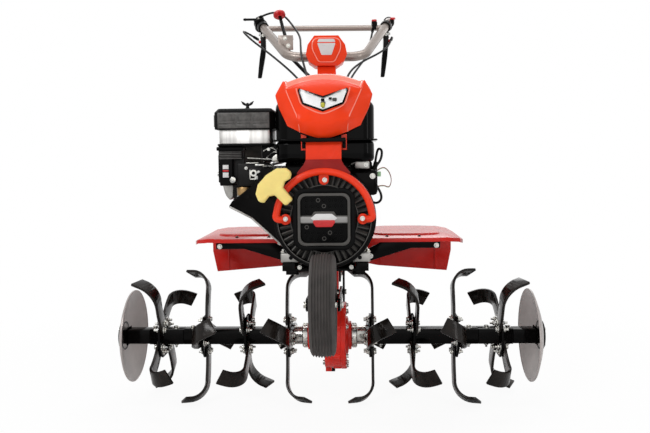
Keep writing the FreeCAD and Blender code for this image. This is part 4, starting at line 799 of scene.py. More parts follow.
class TILLER_OT_transmission(bpy.types.Operator):
    """Upper gear case with its flanges, plugs and clutch bell"""

    bl_idname = "tiller.transmission"
    bl_label = "Transmission"

    def execute(self, context):
        piece = Piece("transmission_body").add(cast_red, copied("transmission_case", 5, 3))
        outline = [(-46, 380), (108, 380), (154, 412), (154, 532), (122, 564), (-46, 564)]
        piece.add(cast_red, plate("YZ", outline, -6, 6, 10, 2))
        for y, z in ((-30, 562), (40, 562), (100, 562), (150, 545), (152, 470), (152, 425), (125, 390)):
            away = UP if z > 550 else (BACK if y > 140 else (0, 0.7, -0.7))
            piece.bolts([(0, y, z)], away, 8, 3.5, 1)
        for side in SIDES:
            for y, z, radius in ((35, 500, 30), (95, 452, 36)):
                boss = [(60, radius), (68, radius - 1), (70, radius - 4), (70, radius * 0.55),
                        (66, radius * 0.5), (66, 0)]
                piece.add(cast_red, turned(boss, (0, y, z), (side, 0, 0), 40))
                spots = [(side * 69.5, y + along, z + up) for along, up in around(4, radius - 7)]
                piece.bolts(spots, (side, 0, 0), 7, 3, 0.8)
            for y in range(-20, 85, 52):
                piece.add(cast_red, block((side * 60, y - 2.5, 386), (side * 66, y + 2.5, 546), 2))
        piece.add(black_abs, bar((30, 30, 558), (30, 30, 575), 12, 24, 2))
        piece.add(black_abs, bar((30, 30, 575), (30, 30, 581), 8, 6, 1))
        spots = [(x, 4, CRANK_Z + z) for x, z in around(8, 81, 22.5) if abs(x) > 63 or z > 49]
        piece.bolts(spots, BACK, 9, 4.5, 1.2)
        piece.done("chassis", "cast_red", ["transmission_case"])
        return {"FINISHED"}


# --- frame and transport wheel -----------------------------------------------------------


class TILLER_OT_base_frame(bpy.types.Operator):
    """Welded engine plate with the cheeks for the wheel fork"""

    bl_idname = "tiller.base_frame"
    bl_label = "Base frame"

    def execute(self, context):
        piece = Piece("base_frame_welded").add(black_enamel, copied("base_frame", 1.2))
        for side in SIDES:
            piece.bolts([(side * 72, y, 389) for y in (-250, -60)], DOWN, 11, 6, 1.5, 4)
            piece.bolts([(side * 60, -265, 398)], FRONT, 6, 3, 1)
            piece.add(black_enamel, block((side * 62, -262, 380), (side * 92, -257, 392), 1.5))
        piece.done("chassis", "black_paint", ["base_frame"])
        pivot = Piece("fork_pivot_set").add(zinc_plate, bar((-43, *FORK_PIVOT), (43, *FORK_PIVOT), 6))
        for side in SIDES:
            pivot.bolts([(side * 43, *FORK_PIVOT)], (side, 0, 0), 12, 4, 0)
        pivot.done("chassis", "zinc", ["fork_pivot_bolt"])
        finished("wheel_fork", black_enamel, "wheel_arm", "black_paint", edge=1.2)
        axle = Piece("wheel_axle_bolt").add(zinc_plate, bar((-37, *WHEEL_BOLT), (37, *WHEEL_BOLT), 6))
        for side in SIDES:
            axle.bolts([(side * 36.7, *WHEEL_BOLT)], (side, 0, 0), 13, 5, 1.2)
        axle.done("wheel_arm", "zinc", ["wheel_bolt"])
        return {"FINISHED"}


def tyre_profile():
    """Half the tyre's section mirrored into a closed loop, with grooves all round the tread."""
    deep = sizes().tyre_groove / MM
    side = [(-20, 72), (-24, 74), (-27, 84), (-27.5, 92), (-26.8, 99), (-24.5, 104.5), (-22, 107)]
    tread = []
    for middle in range(-18, 19, 6):
        crown = 111 - (middle / 24) ** 2 * 3.4
        tread += [(middle - 2.2, crown), (middle - 1.5, crown - deep), (middle + 1.5, crown - deep),
                  (middle + 2.2, crown)]
    far = [(-along, radius) for along, radius in reversed(side)]
    return side + tread + far


class TILLER_OT_wheel(bpy.types.Operator):
    """Ribbed tyre on a pressed rim"""

    bl_idname = "tiller.wheel"
    bl_label = "Transport wheel"

    def execute(self, context):
        tyre = Piece("wheel_tyre").add(tyre_rubber,
                                       turned(tyre_profile(), WHEEL_HUB, (1, 0, 0), 96, closed=True))
        for side in SIDES:
            bead = [(side * 25.8, 82), (side * 27.4, 83.5), (side * 27.4, 86), (side * 26.4, 87)]
            tyre.add(tyre_rubber, turned(bead, WHEEL_HUB, (1, 0, 0), 96))
        tyre.done("front_wheel", "tyre_rubber", ["front_wheel_tyre"], angle=28)
        half = [(18, 6.6), (18, 14), (16, 16), (9, 18), (5, 22), (4, 30), (6, 44), (9, 54), (14, 62),
                (19, 65), (20, 67.5), (20, 72)]
        rim = half + [(-along, radius) for along, radius in reversed(half)]
        wheel = Piece("wheel_rim").add(black_abs, turned(rim, WHEEL_HUB, (1, 0, 0), 96, closed=True))
        for side in SIDES:
            sleeve = [(side * 17, 13), (side * 19, 12.5), (side * 19, 7)]
            wheel.add(zinc_plate, turned(sleeve, WHEEL_HUB, (1, 0, 0), 40))
            for inner, outer in zip(around(6, 24, 0), around(6, 58, 0)):
                start = Vector((side * 8, *inner)) + Vector(WHEEL_HUB)
                end = Vector((side * 10, *outer)) + Vector(WHEEL_HUB)
                wheel.add(black_abs, bar(start, end, 3.5, 12, 1))
        wheel.done("front_wheel", "black_plastic", ["front_wheel_rim"], angle=30)
        return {"FINISHED"}


# --- engine ------------------------------------------------------------------------------


class TILLER_OT_engine(bpy.types.Operator):
    """Crankcase, finned cylinder and valve cover"""

    bl_idname = "tiller.engine"
    bl_label = "Engine"

    def execute(self, context):
        piece = Piece("crankcase").add(dark_cast, copied("engine_block", 4, 3))
        for side in SIDES:
            piece.bolts([(side * 94, y, 424) for y in (-190, -60)], UP, 12, 6, 2)
            piece.add(die_cast, block((side * 62, -262, 408.2), (side * 104, -206, 431), 3))
            piece.add(black_abs, bar((side * 80, -264, 420), (side * 80, -258, 420), 4.6, 20, 0))
            piece.bolts([(side * 98, -244, 431)], UP, 9, 5, 1.5)
        for y in range(-192, -55, 34):
            piece.add(dark_cast, block((86, y - 2, 428), (91, y + 2, 560), 1.5))
        cover = [(-180, 440), (-80, 440), (-66, 470), (-66, 540), (-180, 540)]
        piece.add(dark_cast, plate("YZ", cover, 86, 93, 14, 2))
        spots = ((-172, 448), (-84, 448), (-74, 532), (-172, 532), (-128, 446), (-122, 534))
        piece.bolts([(93, y, z) for y, z in spots], (1, 0, 0), 8, 4, 1)
        piece.add(pull_plastic, bar((91, -105, 452), (104, -105, 452), 11, 24, 2))
        piece.add(pull_plastic, block((104, -115, 449), (110, -95, 455), 1.5))
        piece.bolts([(60, -205, 434)], FRONT, 12, 5, 2)
        # The shroud over the flywheel and its fixings show between the guard, the tank and the neck.
        piece.add(black_enamel, block((-98, -170, 598), (112, -110, 641), 5))
        piece.add(black_enamel, block((60, -196, 560), (124, -110, 622), 9))
        piece.add(die_cast, block((70, -226, 624), (104, -196, 642), 3))
        piece.bolts([(112, -196, 606)], FRONT, 8, 4, 1.2).bolts([(96, -226, 633)], FRONT, 6, 3, 1)
        piece.add(zinc_plate, bar((56, -200, 628), (72, -214, 640), 3, 16, 0.8))
        piece.done("chassis", "black_paint", ["engine_block"])
        head = Piece("cylinder")
        head.add(dark_cast, block((-204, -134, 520), (-88, -71, 624), 6))
        for index in range(11):
            x, foot = -98 - 9.4 * index, 506 + 0.8 * index
            fin = [(-145, foot), (-60, foot), (-60, 632), (-145, 632)]
            head.add(dark_cast, plate("YZ", fin, x - 1.3, x + 1.3, 12, 0.4, 1))
        head.add(dark_cast, block((-230, -142, 540), (-203, -63, 634), 4))
        for z in range(550, 623, 18):
            head.add(dark_cast, block((-231, -145, z - 1.5), (-204, -60, z + 1.5), 0.8))
        rocker = [(-257, 628), (-257, 580), (-251, 560), (-240, 547), (-230, 556), (-228, 628)]
        head.add(die_cast, plate("XZ", rocker, -137, -68, 5, 5, 4))
        head.bolts([(-256.6, y, z) for y in (-126, -79) for z in (590, 616)], (-1, 0, 0), 8, 3, 0.8)
        boot = [(0, 9), (10, 9), (12, 7), (26, 6.5), (34, 7.5), (40, 5), (40, 0)]
        head.add(grip_rubber, turned(boot, (-217, -66, 600), (0.1, 0.7, 0.7), 20))
        head.done("chassis", "alloy", ["cylinder_head"])
        finished("tank_bracket", black_enamel, "chassis", "black_paint", edge=2)
        return {"FINISHED"}


def louvres(count, inner, outer, y_from, y_to):
    """A ring of thin slanted blades about the crankshaft."""
    shapes = []
    for index in range(count):
        blade = cube(((outer - inner) * MM, (y_to - y_from) * MM, 3.4 * MM))
        rotated(blade, math.radians(34), "X")
        soften(moved(blade, ((outer + inner) / 2 * MM, 0, 0)), 0.5, 1)
        rotated(blade, 2 * math.pi * (index + 0.5) / count, "Y")
        shapes.append(moved(blade, place(0, (y_from + y_to) / 2, CRANK_Z)))
    return shapes


class TILLER_OT_starter(bpy.types.Operator):
    """Cowl, louvred starter ring, square cover with its blank badge, and the pull handle"""

    bl_idname = "tiller.starter"
    bl_label = "Cowl and starter"

    def execute(self, context):
        cowl = Piece("fan_cowl").add(black_enamel, copied("fan_housing", 3.5, 3, 30))
        for x, z in ((-148, 612), (-176, 562), (-120, 560)):
            cowl.add(black_enamel, bolt((x, -262, z), FRONT, 8, 3, 1))
        # Two pale die-cast bars along the cowl's lower edge paint the highlight on its rim.
        for (x, z), (to_x, to_z) in (((-220, 540), (-170, 514)), ((-170, 514), (-66, 419))):
            cowl.add(die_cast, bar((x, -263, z), (to_x, -263, to_z), 2.4, 16, 1))
        rim = [(-276.5, 117.5), (-278, 116), (-278, 111.5), (-276.5, 110.5)]
        cowl.add(black_enamel, turned(rim, CRANK, BACK, 96))
        cowl.done("chassis", "black_paint", ["fan_housing"])

        ring = Piece("starter_ring")
        drum = [(-276, 0), (-276, 109), (-279, 110), (-296, 110), (-298, 108.5), (-298, 105),
                (-296, 103.5), (-284, 103), (-284, 77), (-297, 76), (-298, 74), (-298, 0)]
        ring.add(black_enamel, turned(drum, CRANK, BACK, 96))
        ring.add(grey_abs, *louvres(sizes().louvre_count, 77, 103.5, -295, -285))
        for radius in (76.5, 106):
            lip = [(-298.6, radius - 1), (-298.6, radius + 1), (-296, radius + 1), (-296, radius - 1)]
            ring.add(grey_abs, turned(lip, CRANK, BACK, 96, closed=True))
        ring.done("chassis", "black_plastic", ["recoil_starter"])

        cover = Piece("starter_square")
        outline = [(-70, CRANK_Z - 70), (70, CRANK_Z - 70), (70, CRANK_Z + 70), (-70, CRANK_Z + 70)]
        cover.add(black_abs, plate("XZ", outline, -312, -298.1, 27, 3.5, 3, 6))
        cover.add(black_abs, frame_plate(70, 60, -317, -311, 27, 2))
        cover.add(grey_abs, frame_plate(59, 52.6, -319.6, -311, 17, 1.6))
        dimple = [(-312.2, 4.9), (-313.4, 4.6), (-313.4, 3.7), (-311.9, 2.9), (-311.9, 0)]
        for row, level, column in itertools.product(range(2), range(3), range(7)):
            x = -39 + 13 * column
            z = CRANK_Z + (1 if row else -1) * (17 + 13 * level)
            if level > 0 or abs(x) >= 27:
                make = grey_abs if (row + column + level) % 5 == 0 else black_abs
                cover.add(make, turned(dimple, (x, 0, z), BACK, 16))
        cover.add(grey_abs, block((-53, -316, CRANK_Z - 9), (53, -311.8, CRANK_Z + 9), 1))
        cover.add(silver_print, block((-53, -317.2, CRANK_Z - 7), (53, -312, CRANK_Z + 6.5), 0.8))
        brow = [(-29, CRANK_Z + 7), (29, CRANK_Z + 7), (22, CRANK_Z + 18), (-22, CRANK_Z + 18)]
        cover.add(grey_abs, plate("XZ", brow, -318, -312, 2, 1))
        upper = [(-24, CRANK_Z - 1.5), (24, CRANK_Z - 1.5), (30, CRANK_Z + 3), (18, CRANK_Z + 13),
                 (-18, CRANK_Z + 13), (-30, CRANK_Z + 3)]
        cover.add(pale_label, plate("XZ", upper, -319, -312, 1.5, 0.8))
        lower = [(-24, CRANK_Z - 1), (24, CRANK_Z - 1), (25, CRANK_Z - 6), (18, CRANK_Z - 16.5),
                 (-18, CRANK_Z - 16.5), (-25, CRANK_Z - 6)]
        cover.add(knob_red, plate("XZ", lower, -319.6, -312, 3, 1.6, 3))
        cover.done("chassis", "black_plastic", ["starter_cover"])

        pull = Piece("starter_pull")
        outline = [(-11, -38), (11, -38), (12.5, -4), (24, 3), (38, 0), (49, 8), (47, 23), (31, 37),
                   (4, 42), (-24, 39), (-42, 27), (-49, 9), (-41, 0), (-24, 3), (-12.5, -4)]
        shape = bmesh.new()
        shape.faces.new([shape.verts.new((u * MM, -11 * MM, v * MM)) for u, v in outline])
        rotated(soften(deepened(shape, 22), 6, 5, 60), math.radians(-42), "Y")
        middle = centre("starter_handle")
        pull.add(pull_plastic, moved(shape, place(middle.x - 1, middle.y, middle.z - 1)))
        pull.done("chassis", "pull_yellow", ["starter_handle"], angle=60)
        return {"FINISHED"}


class TILLER_OT_front_guard(bpy.types.Operator):
    """Round-tube guard bolted to the starter, and the neck under the hood"""

    bl_idname = "tiller.front_guard"
    bl_label = "Front guard"

    def execute(self, context):
        piece = Piece("guard_arch").add(guard_red, copied("front_guard", 1.0, 2, 50, 0.2))
        half = [(39, CRANK_Z + 134), (45, CRANK_Z + 122), (60, CRANK_Z + 104), (56, CRANK_Z + 94)]
        flare = [(-39, CRANK_Z + 134), *half, (0, CRANK_Z + 108), *[(-x, z) for x, z in half[:0:-1]]]
        # The flare plate takes the darker red of the painted shade under the hood.
        piece.add(painted_shade_red, plate("XZ", flare, -310, -302.5, 0, 1.5))
        # Black blocks in the gap under the hood and inside its brackets paint the shade there.
        piece.add(black_abs, block((-50, -300, CRANK_Z + 173), (50, -268, CRANK_Z + 182), 1.5))
        for side in SIDES:
            piece.add(black_abs,
                      block((side * 42, -273, CRANK_Z + 159), (side * 50, -270, CRANK_Z + 174), 0.6))
            piece.bolts([(side * 86, -318, CRANK_Z + 2)], FRONT, 6.5, 3.5, 1.2)
        piece.bolts([(2, -304, CRANK_Z + 88)], FRONT, 6.5, 3.5, 1.2)
        piece.done("chassis", "sheet_red", ["front_guard"], angle=40)
        return {"FINISHED"}


# --- hood, tank, air cleaner -------------------------------------------------------------

# Rows of the hood from its lower edge up over the brow to the back of the roof. In each row the points
# go from the middle outwards: face, face, the crease below the horn, the outer corner, the return.
HOOD_CAGE = (
    ((0, -291, 692), (24, -290, 697.5), (54, -281, 709), (84, -262, 724), (86, -240, 729)),
    ((0, -315, 722), (28, -313, 726), (54, -306, 734), (92, -258, 741), (93, -236, 743)),
    ((0, -318, 752), (34, -315, 757), (67, -289, 762), (103, -254, 763), (104, -225, 765)),
    ((0, -309, 784), (40, -301, 786), (79, -274, 789), (113, -250, 794.5), (112.5, -212, 797)),
    ((0, -285, 811), (44, -281, 810), (87, -263, 807), (94, -240, 829), (106, -198, 816)),
    ((0, -263, 829), (44, -261, 826), (83, -257, 811), (91, -236, 828), (104, -196, 818)),
    ((0, -249, 843), (42, -248, 840), (82, -243, 826), (89, -232, 829), (101, -195, 822)),
    ((0, -150, 850), (42, -150, 846), (80, -150, 832), (88, -150, 832), (100, -150, 822)),
)
# How sharp the hood is along each row, along each column, and at the corners outside the face.
ROW_CREASE = (1.0, 0.3, 0, 0.25, 0, 0.62, 0.56, 1.0)
COLUMN_CREASE = (0, 0, 0.6, 0.5, 1.0)
CORNER_CREASE = 0.62
# The lamp's outline on the left half, from its lowest point round to the notch above it.
LAMP = ((0, -316, 754.5), (44, -308, 771), (54.5, -290, 800), (52, -290, 805), (0, -307, 784.5))
# The raised rim under the lamp, from its tip down to the middle.
LAMP_RIM = ((60, -287, 806), (59, -290, 800), (54, -298, 785), (49, -305, 769), (30, -311, 758),
            (8, -315.5, 748.5), (0, -316, 748))


def worked(shape, *modifiers):
    """A shape after some modifiers, each given as its type and settings."""
    mesh = bpy.data.meshes.new("work")
    shape.to_mesh(mesh)
    shape.free()
    for _ in range(2):
        mesh.materials.append(None)
    holder = bpy.data.objects.new("work", mesh)
    bpy.context.scene.collection.objects.link(holder)
    for kind, settings in modifiers:
        modifier = holder.modifiers.new(kind, kind)
        for key, setting in settings.items():
            setattr(modifier, key, setting)
    graph = bpy.context.evaluated_depsgraph_get()
    done = bpy.data.meshes.new_from_object(holder.evaluated_get(graph), depsgraph=graph)
    result = bmesh.new()
    result.from_mesh(done)
    bpy.data.objects.remove(holder)
    bpy.data.meshes.remove(mesh)
    bpy.data.meshes.remove(done)
    return result


def cut_out(shape, tool):
    """A shape with another taken out of it."""
    mesh = bpy.data.meshes.new("tool")
    tool.to_mesh(mesh)
    tool.free()
    for _ in range(2):
        mesh.materials.append(None)
    cutter = bpy.data.objects.new("tool", mesh)
    bpy.context.scene.collection.objects.link(cutter)
    settings = {"operation": "DIFFERENCE", "object": cutter, "solver": "EXACT"}
    result = worked(shape, ("BOOLEAN", settings))
    bpy.data.objects.remove(cutter)
    bpy.data.meshes.remove(mesh)
    return result


def mirror(shape):
    """Adds the other side of a shape that ends at the machine's middle."""
    bmesh.ops.mirror(shape, geom=everything(shape), axis="X", merge_dist=0.0001)


def hood_shell():
    """The hood's facetted shell, one moulding of even wall."""
    rows, columns = len(HOOD_CAGE), len(HOOD_CAGE[0])
    cage = bmesh.new()
    bmesh.ops.create_grid(cage, x_segments=columns - 1, y_segments=rows - 1, size=1)
    cage.verts.ensure_lookup_table()
    for index, vert in enumerate(cage.verts):
        vert.co = place(*HOOD_CAGE[index // columns][index % columns])
    crease = cage.edges.layers.float.new("crease_edge")
    corner = cage.verts.layers.float.new("crease_vert")
    for edge in cage.edges:
        first, second = sorted(vert.index for vert in edge.verts)
        row, column = first // columns, first % columns
        edge[crease] = ROW_CREASE[row] if second - first == 1 else COLUMN_CREASE[column]
    for index, vert in enumerate(cage.verts):
        if index % columns > 1:
            vert[corner] = CORNER_CREASE
    # The narrow facet behind the brow and the tip of each horn take the lighter red of the painted
    # highlight.
    for face in cage.faces:
        row = min(vert.index for vert in face.verts) // columns
        column = min(vert.index for vert in face.verts) % columns
        face.material_index = 1 if row == 5 or (row == 4 and column == 3) else 0
    mirror(cage)
    bmesh.ops.recalc_face_normals(cage, faces=cage.faces)
    top = max(cage.faces, key=lambda face: face.calc_center_median().z)
    if top.normal.z < 0:
        bmesh.ops.reverse_faces(cage, faces=cage.faces)
    return worked(cage, ("SUBSURF", {"levels": 4, "render_levels": 4}),
                  ("SOLIDIFY", {"thickness": 3 * MM, "offset": -1}))


def lamp_face(grow=0.0, back=0.0, lift=0.0):
    """The lamp's V-shaped outline, one face a side, grown in its plane and moved back and up."""
    shape = bmesh.new()
    middle = Vector((24, -300, 784))
    verts = []
    for x, y, z in LAMP:
        away = Vector((x, 0, z)) - Vector((middle.x, 0, middle.z))
        step = away.normalized() * grow if x else Vector((0, 0, grow if z > 780 else -grow))
        verts.append(shape.verts.new(place(max(0, x + step.x), y + back, z + lift + step.z)))
    shape.faces.new(verts)
    mirror(shape)
    return shape


def deepened(shape, depth):
    """A face given depth towards the back, in millimetres."""
    return thickened(shape, (0, depth * MM, 0))


class TILLER_OT_hood(bpy.types.Operator):
    """Facetted hood and the lamp in its face"""

    bl_idname = "tiller.hood"
    bl_label = "Hood and lamp"

    def execute(self, context):
        shell = cut_out(hood_shell(), deepened(lamp_face(2.6, -20), 60))
        piece = Piece("hood_shell").add((hood_abs, hood_painted_highlight), shell)
        # Thin ridges along the creases and round the lamp, in the lighter red, paint the highlight lines
        # on them.
        for side in SIDES:
            crease = [(side * x, y + 0.6, z) for x, y, z in [row[2] for row in HOOD_CAGE[:6]]]
            piece.add(hood_painted_highlight, smooth_line(crease, 1.5, 12))
            rim = [(side * x, y, z) for x, y, z in LAMP_RIM]
            piece.add(hood_painted_highlight, smooth_line(rim, 1.7, 12))
        piece.done("chassis", "hood_red", ["hood"], angle=24)
        lamp = Piece("lamp_unit")
        bezel = cut_out(deepened(lamp_face(2.4, 0.2), 12), deepened(lamp_face(-1.0, -30, 1.5), 80))
        lamp.add(black_abs, bezel)
        lamp.add(reflector, deepened(lamp_face(-0.6, 4.5), 6))
        lamp.add(clear_lens, deepened(lamp_face(-0.7, 1.5, 0.8), 1.2))
        lamp.add(amber_lamp, ball((0, -311.5, 767), 5, (1, 0.5, 1.2), 16))
        lamp.add(black_abs, block((-4, -311, 776), (4, -306, 781), 1))
        lamp.add(black_abs, block((13, -307, 780), (20, -303, 784), 1))
        lamp.add(grey_abs, block((21, -306, 776), (31, -302, 783), 1.5))
        lamp.add(grey_abs, block((-5, -311, 769), (6, -308, 774), 1))
        lamp.done("chassis", "lamp_clear", ["headlight"], angle=30)
        return {"FINISHED"}


class TILLER_OT_tank(bpy.types.Operator):
    """Fuel tank of two pressed halves, with its cap"""

    bl_idname = "tiller.tank"
    bl_label = "Fuel tank"

    def execute(self, context):
        square = [(-116, -235), (116, -235), (116, -30), (-116, -30)]
        lip = [(-124, -243), (124, -243), (124, -22), (-124, -22)]
        piece = Piece("tank_body")
        piece.add(tank_black, plate("XY", square, 640, 691, 34, 11, 5, 8))
        piece.add(tank_black, plate("XY", lip, 690, 694, 38, 0.9, 2, 8))
        upper = plate("XY", square, 693, 786, 34, 0, 2, 8)
        piece.add(tank_black, soften(upper, 20, 7, edges=edges_above(upper, 785)))
        piece.bolts([(x, -28, 694) for x in (-100, 100)], UP, 8, 3.5, 1)
        piece.done("chassis", "tank_black", ["fuel_tank"])
        cap = Piece("tank_cap")
        profile = [(785, 0), (785, 30), (788, 30), (789, 34), (806, 34), (809, 32.5), (811, 29),
                   (811, 20), (809, 18), (809, 0)]
        cap.add(black_abs, turned(profile, (0, -92, 0), (0, 0, 1), 64))
        for x, y in around(18, 33.6, 0):
            cap.add(black_abs, bar((x, y - 92, 790), (x, y - 92, 805), 1.8, 8, 0.4))
        cap.done("chassis", "black_plastic", ["fuel_cap"])
        return {"FINISHED"}


class TILLER_OT_air_cleaner(bpy.types.Operator):
    """Air cleaner lid, bright band, ribbed intake box and wing nut"""

    bl_idname = "tiller.air_cleaner"
    bl_label = "Air cleaner"

    def execute(self, context):
        lid = Piece("cleaner_lid")
        square = [(-262, -215), (-118, -215), (-118, -85), (-262, -85)]
        shape = plate("XY", square, 720, 769, 11, 0, 2, 1)
        soften(shape, 9, 1, edges=edges_above(shape, 768))
        lid.add(black_abs, soften(shape, 1, 2))
        # The lid's front and side plates take the lighter grey that paints the light on them.
        lid.add(painted_light_abs, block((-253, -215.4, 722), (-130, -213, 759), 1))
        for x_from, x_to in ((-250, -211), (-206, -174), (-169, -132)):
            lid.add(painted_light_abs, block((x_from, -216.2, 740), (x_to, -214, 757), 1.6, 3))
            lid.add(painted_light_abs, block((x_from, -216.8, 734), (x_to, -214, 736.5), 0.8))
            lid.add(painted_light_abs, block((x_from, -216, 723), (x_to, -214, 731), 1.2))
        for y_from, y_to in ((-205, -155), (-148, -95)):
            lid.add(painted_light_abs, block((-263.4, y_from, 726), (-261, y_to, 754), 1))
        lid.add(black_abs, bar((-190, -150, 768), (-190, -150, 772), 15, 32, 1.5))
        lid.add(dark_cast, bar((-190, -150, 771), (-190, -150, 786), 3, 12, 0.5))
        lid.add(dark_cast, bolt((-190, -150, 772), UP, 8, 4, 1.2))
        for side in SIDES:
            wing = plate("XZ", [(-190, 776), (-190 + side * 12, 782), (-190 + side * 16, 791),
                                (-190 + side * 8, 787), (-190, 781)], -151.5, -148.5, 1.5, 0.8)
            lid.add(dark_cast, wing)
        lid.done("chassis", "black_plastic", ["air_cleaner_lid"])

        bowl = Piece("cleaner_band")
        band = [(-253, -206), (-127, -206), (-127, -94), (-253, -94)]
        bowl.add(brushed_band, plate("XY", band, 684, 721, 12, 0.8, 2, 2))
        upper = [(-258, -211), (-122, -211), (-122, -89), (-258, -89)]
        bowl.add(black_abs, plate("XY", upper, 719, 721.5, 12, 0.8))
        lower = [(-257, -210), (-123, -210), (-123, -90), (-257, -90)]
        bowl.add(black_abs, plate("XY", lower, 681, 686, 14, 0.8))
        bowl.done("chassis", "bright", ["air_cleaner_bowl"])

        box = Piece("intake_duct").add(black_abs, block((-256, -196, 651), (-198, -147, 682), 3, 3))
        box.add(black_abs, block((-254, -196, 586), (-222, -147, 654), 3, 3))
        box.add(dark_cast, block((-226, -184, 590), (-194, -147, 654), 3, 3))
        box.add(black_abs, block((-260, -199, 670), (-196, -145.5, 679), 2))
        # The ribs take the lighter grey that paints the light on their faces.
        for index in range(5):
            z = 650 + 3.9 * index
            box.add(painted_light_abs, block((-254, -198.4, z), (-200, -194, z + 1.9), 0.6))
        for make, z_from, z_to in ((pale_label, 606, 618), (knob_red, 620, 624),
                                   (pale_label, 626, 636)):
            box.add(make, block((-246, -197.4, z_from), (-232, -195.4, z_to), 0.4))
        box.add(zinc_plate, bar((-222, -200, 600), (-222, -190, 600), 7.4, 24, 1.2))
        box.bolts([(-222, -200, 600)], FRONT, 6, 2, 0)
        box.bolts([(-258, -170, 614)], (-1, 0, 0), 11, 4, 1)
        box.add(black_abs, block((-257.6, -190, 594), (-255, -152, 660), 1.5))
        box.done("chassis", "black_plastic", ["intake_box"])

        carb = Piece("carburettor_set")
        carb.add(dark_cast, block((-212, -191, 584), (-134, -155, 640), 4))
        collar = [(582, 0), (582, 17.5), (580, 18.5), (562, 18), (561, 16.5), (561, 0)]
        carb.add(brass, turned(collar, (-198, -173, 0), UP, 40))
        float_bowl = [(562, 0), (562, 18.2), (559, 18.2), (550, 16.5), (545, 12), (545, 0)]
        carb.add(die_cast, turned(float_bowl, (-198, -173, 0), UP, 40))
        carb.add(brass, bolt((-198, -173, 545), DOWN, 8, 4, 0))
        carb.add(dark_cast, block((-182, -195, 598), (-152, -190, 628), 1.5))
        for low, high, rounding in (((-168, -199, 633), (-146, -196, 637), 0.8),
                                    ((-182, -198, 600), (-160, -196, 603), 0.5),
                                    ((-182, -198, 600), (-179, -195, 624), 0.5),
                                    ((-190, -197, 639), (-160, -195, 641), 0.4)):
            carb.add(zinc_plate, block(low, high, rounding))
        ring = [(-199, 4), (-199, 8), (-196, 8), (-196, 4)]
        carb.add(zinc_plate, turned(ring, (-172, 0, 616), BACK, 24, closed=True))
        spots = ((-160, -196, 618), (-148, -195, 602), (-166, -196, 606), (-190, -196, 628))
        carb.bolts(spots, FRONT, 4.5, 2.4, 0.6)
        spring = [(-150 + 0.55 * turn, -199 + y, 632 + z)
                  for turn, (y, z) in enumerate(around(48, 3, 0, 90))]
        carb.add(zinc_plate, smooth_line(spring, 0.7, 8))
        for route in (
                [(-186, -198, 652), (-150, -200, 650), (-100, -214, 644), (-50, -216, 638)],
                [(-150, -196, 640), (-132, -202, 662), (-112, -208, 668), (-92, -214, 652)],
                [(-128, -200, 628), (-118, -206, 655), (-98, -212, 640), (-78, -214, 662)],
                [(-146, -204, 668), (-128, -206, 680), (-110, -208, 664), (-96, -212, 676),
                 (-86, -212, 660)],
                [(-140, -205, 652), (-122, -208, 644), (-104, -212, 656), (-90, -213, 642)]):
            carb.add(zinc_plate, smooth_line(route, 1.3, 8))
        governor = [(-126, 642), (-108, 642), (-92, 652), (-96, 664), (-116, 660), (-126, 652)]
        carb.add(zinc_plate, plate("XZ", governor, -212, -209.5, 3, 0.6))
        spots = ((-118, -212, 650), (-100, -212, 658), (-134, -206, 672), (-90, -213, 670))
        carb.bolts(spots, FRONT, 4.5, 3, 0.8)
        carb.add(black_abs, block((-152, -200, 642), (-84, -150, 684), 6))
        carb.done("chassis", "alloy", ["carburettor"])
        return {"FINISHED"}


class TILLER_OT_muffler(bpy.types.Operator):
    """Ribbed silencer with its bracket and outlet pipe"""

    bl_idname = "tiller.muffler"
    bl_label = "Silencer"

    def execute(self, context):
        middle = (centre("muffler").x, 0, reach("muffler")[1].z - 44)
        can = [(-52, 0), (-52, 38), (-49, 42), (60, 42), (63, 38), (63, 0)]
        piece = Piece("silencer").add(heat_steel, turned(can, middle, (0, 1, 0), 64))
        for along in (-40, -20, 4, 28, 50):
            rib = [(along - 2.5, 41.5), (along - 1, 43.6), (along + 1, 43.6), (along + 2.5, 41.5)]
            piece.add(heat_steel, turned(rib, middle, (0, 1, 0), 64))
        piece.add(heat_steel, turned([(63, 20), (64, 21), (64, 9), (62, 8)], middle, (0, 1, 0), 40))
        piece.add(black_enamel, block((-214, -60, 570), (-176, -51, 626), 1.5))
        piece.bolts([(x, -51, 586) for x in (-208, -182)], BACK, 9, 5, 1)
        piece.add(heat_steel, block((-212, -54, 580), (-178, -30, 640), 8, 3))
        pipe = [(0, 9), (22, 9), (22, 7.6), (0, 7.6)]
        mouth = (middle[0] + 20, 40, middle[2] + 20)
        piece.add(heat_steel, turned(pipe, mouth, (0.5, 0.3, 0.6), 24, closed=True))
        piece.done("chassis", "black_paint", ["muffler"])
        return {"FINISHED"}


# --- fenders and hitch -------------------------------------------------------------------


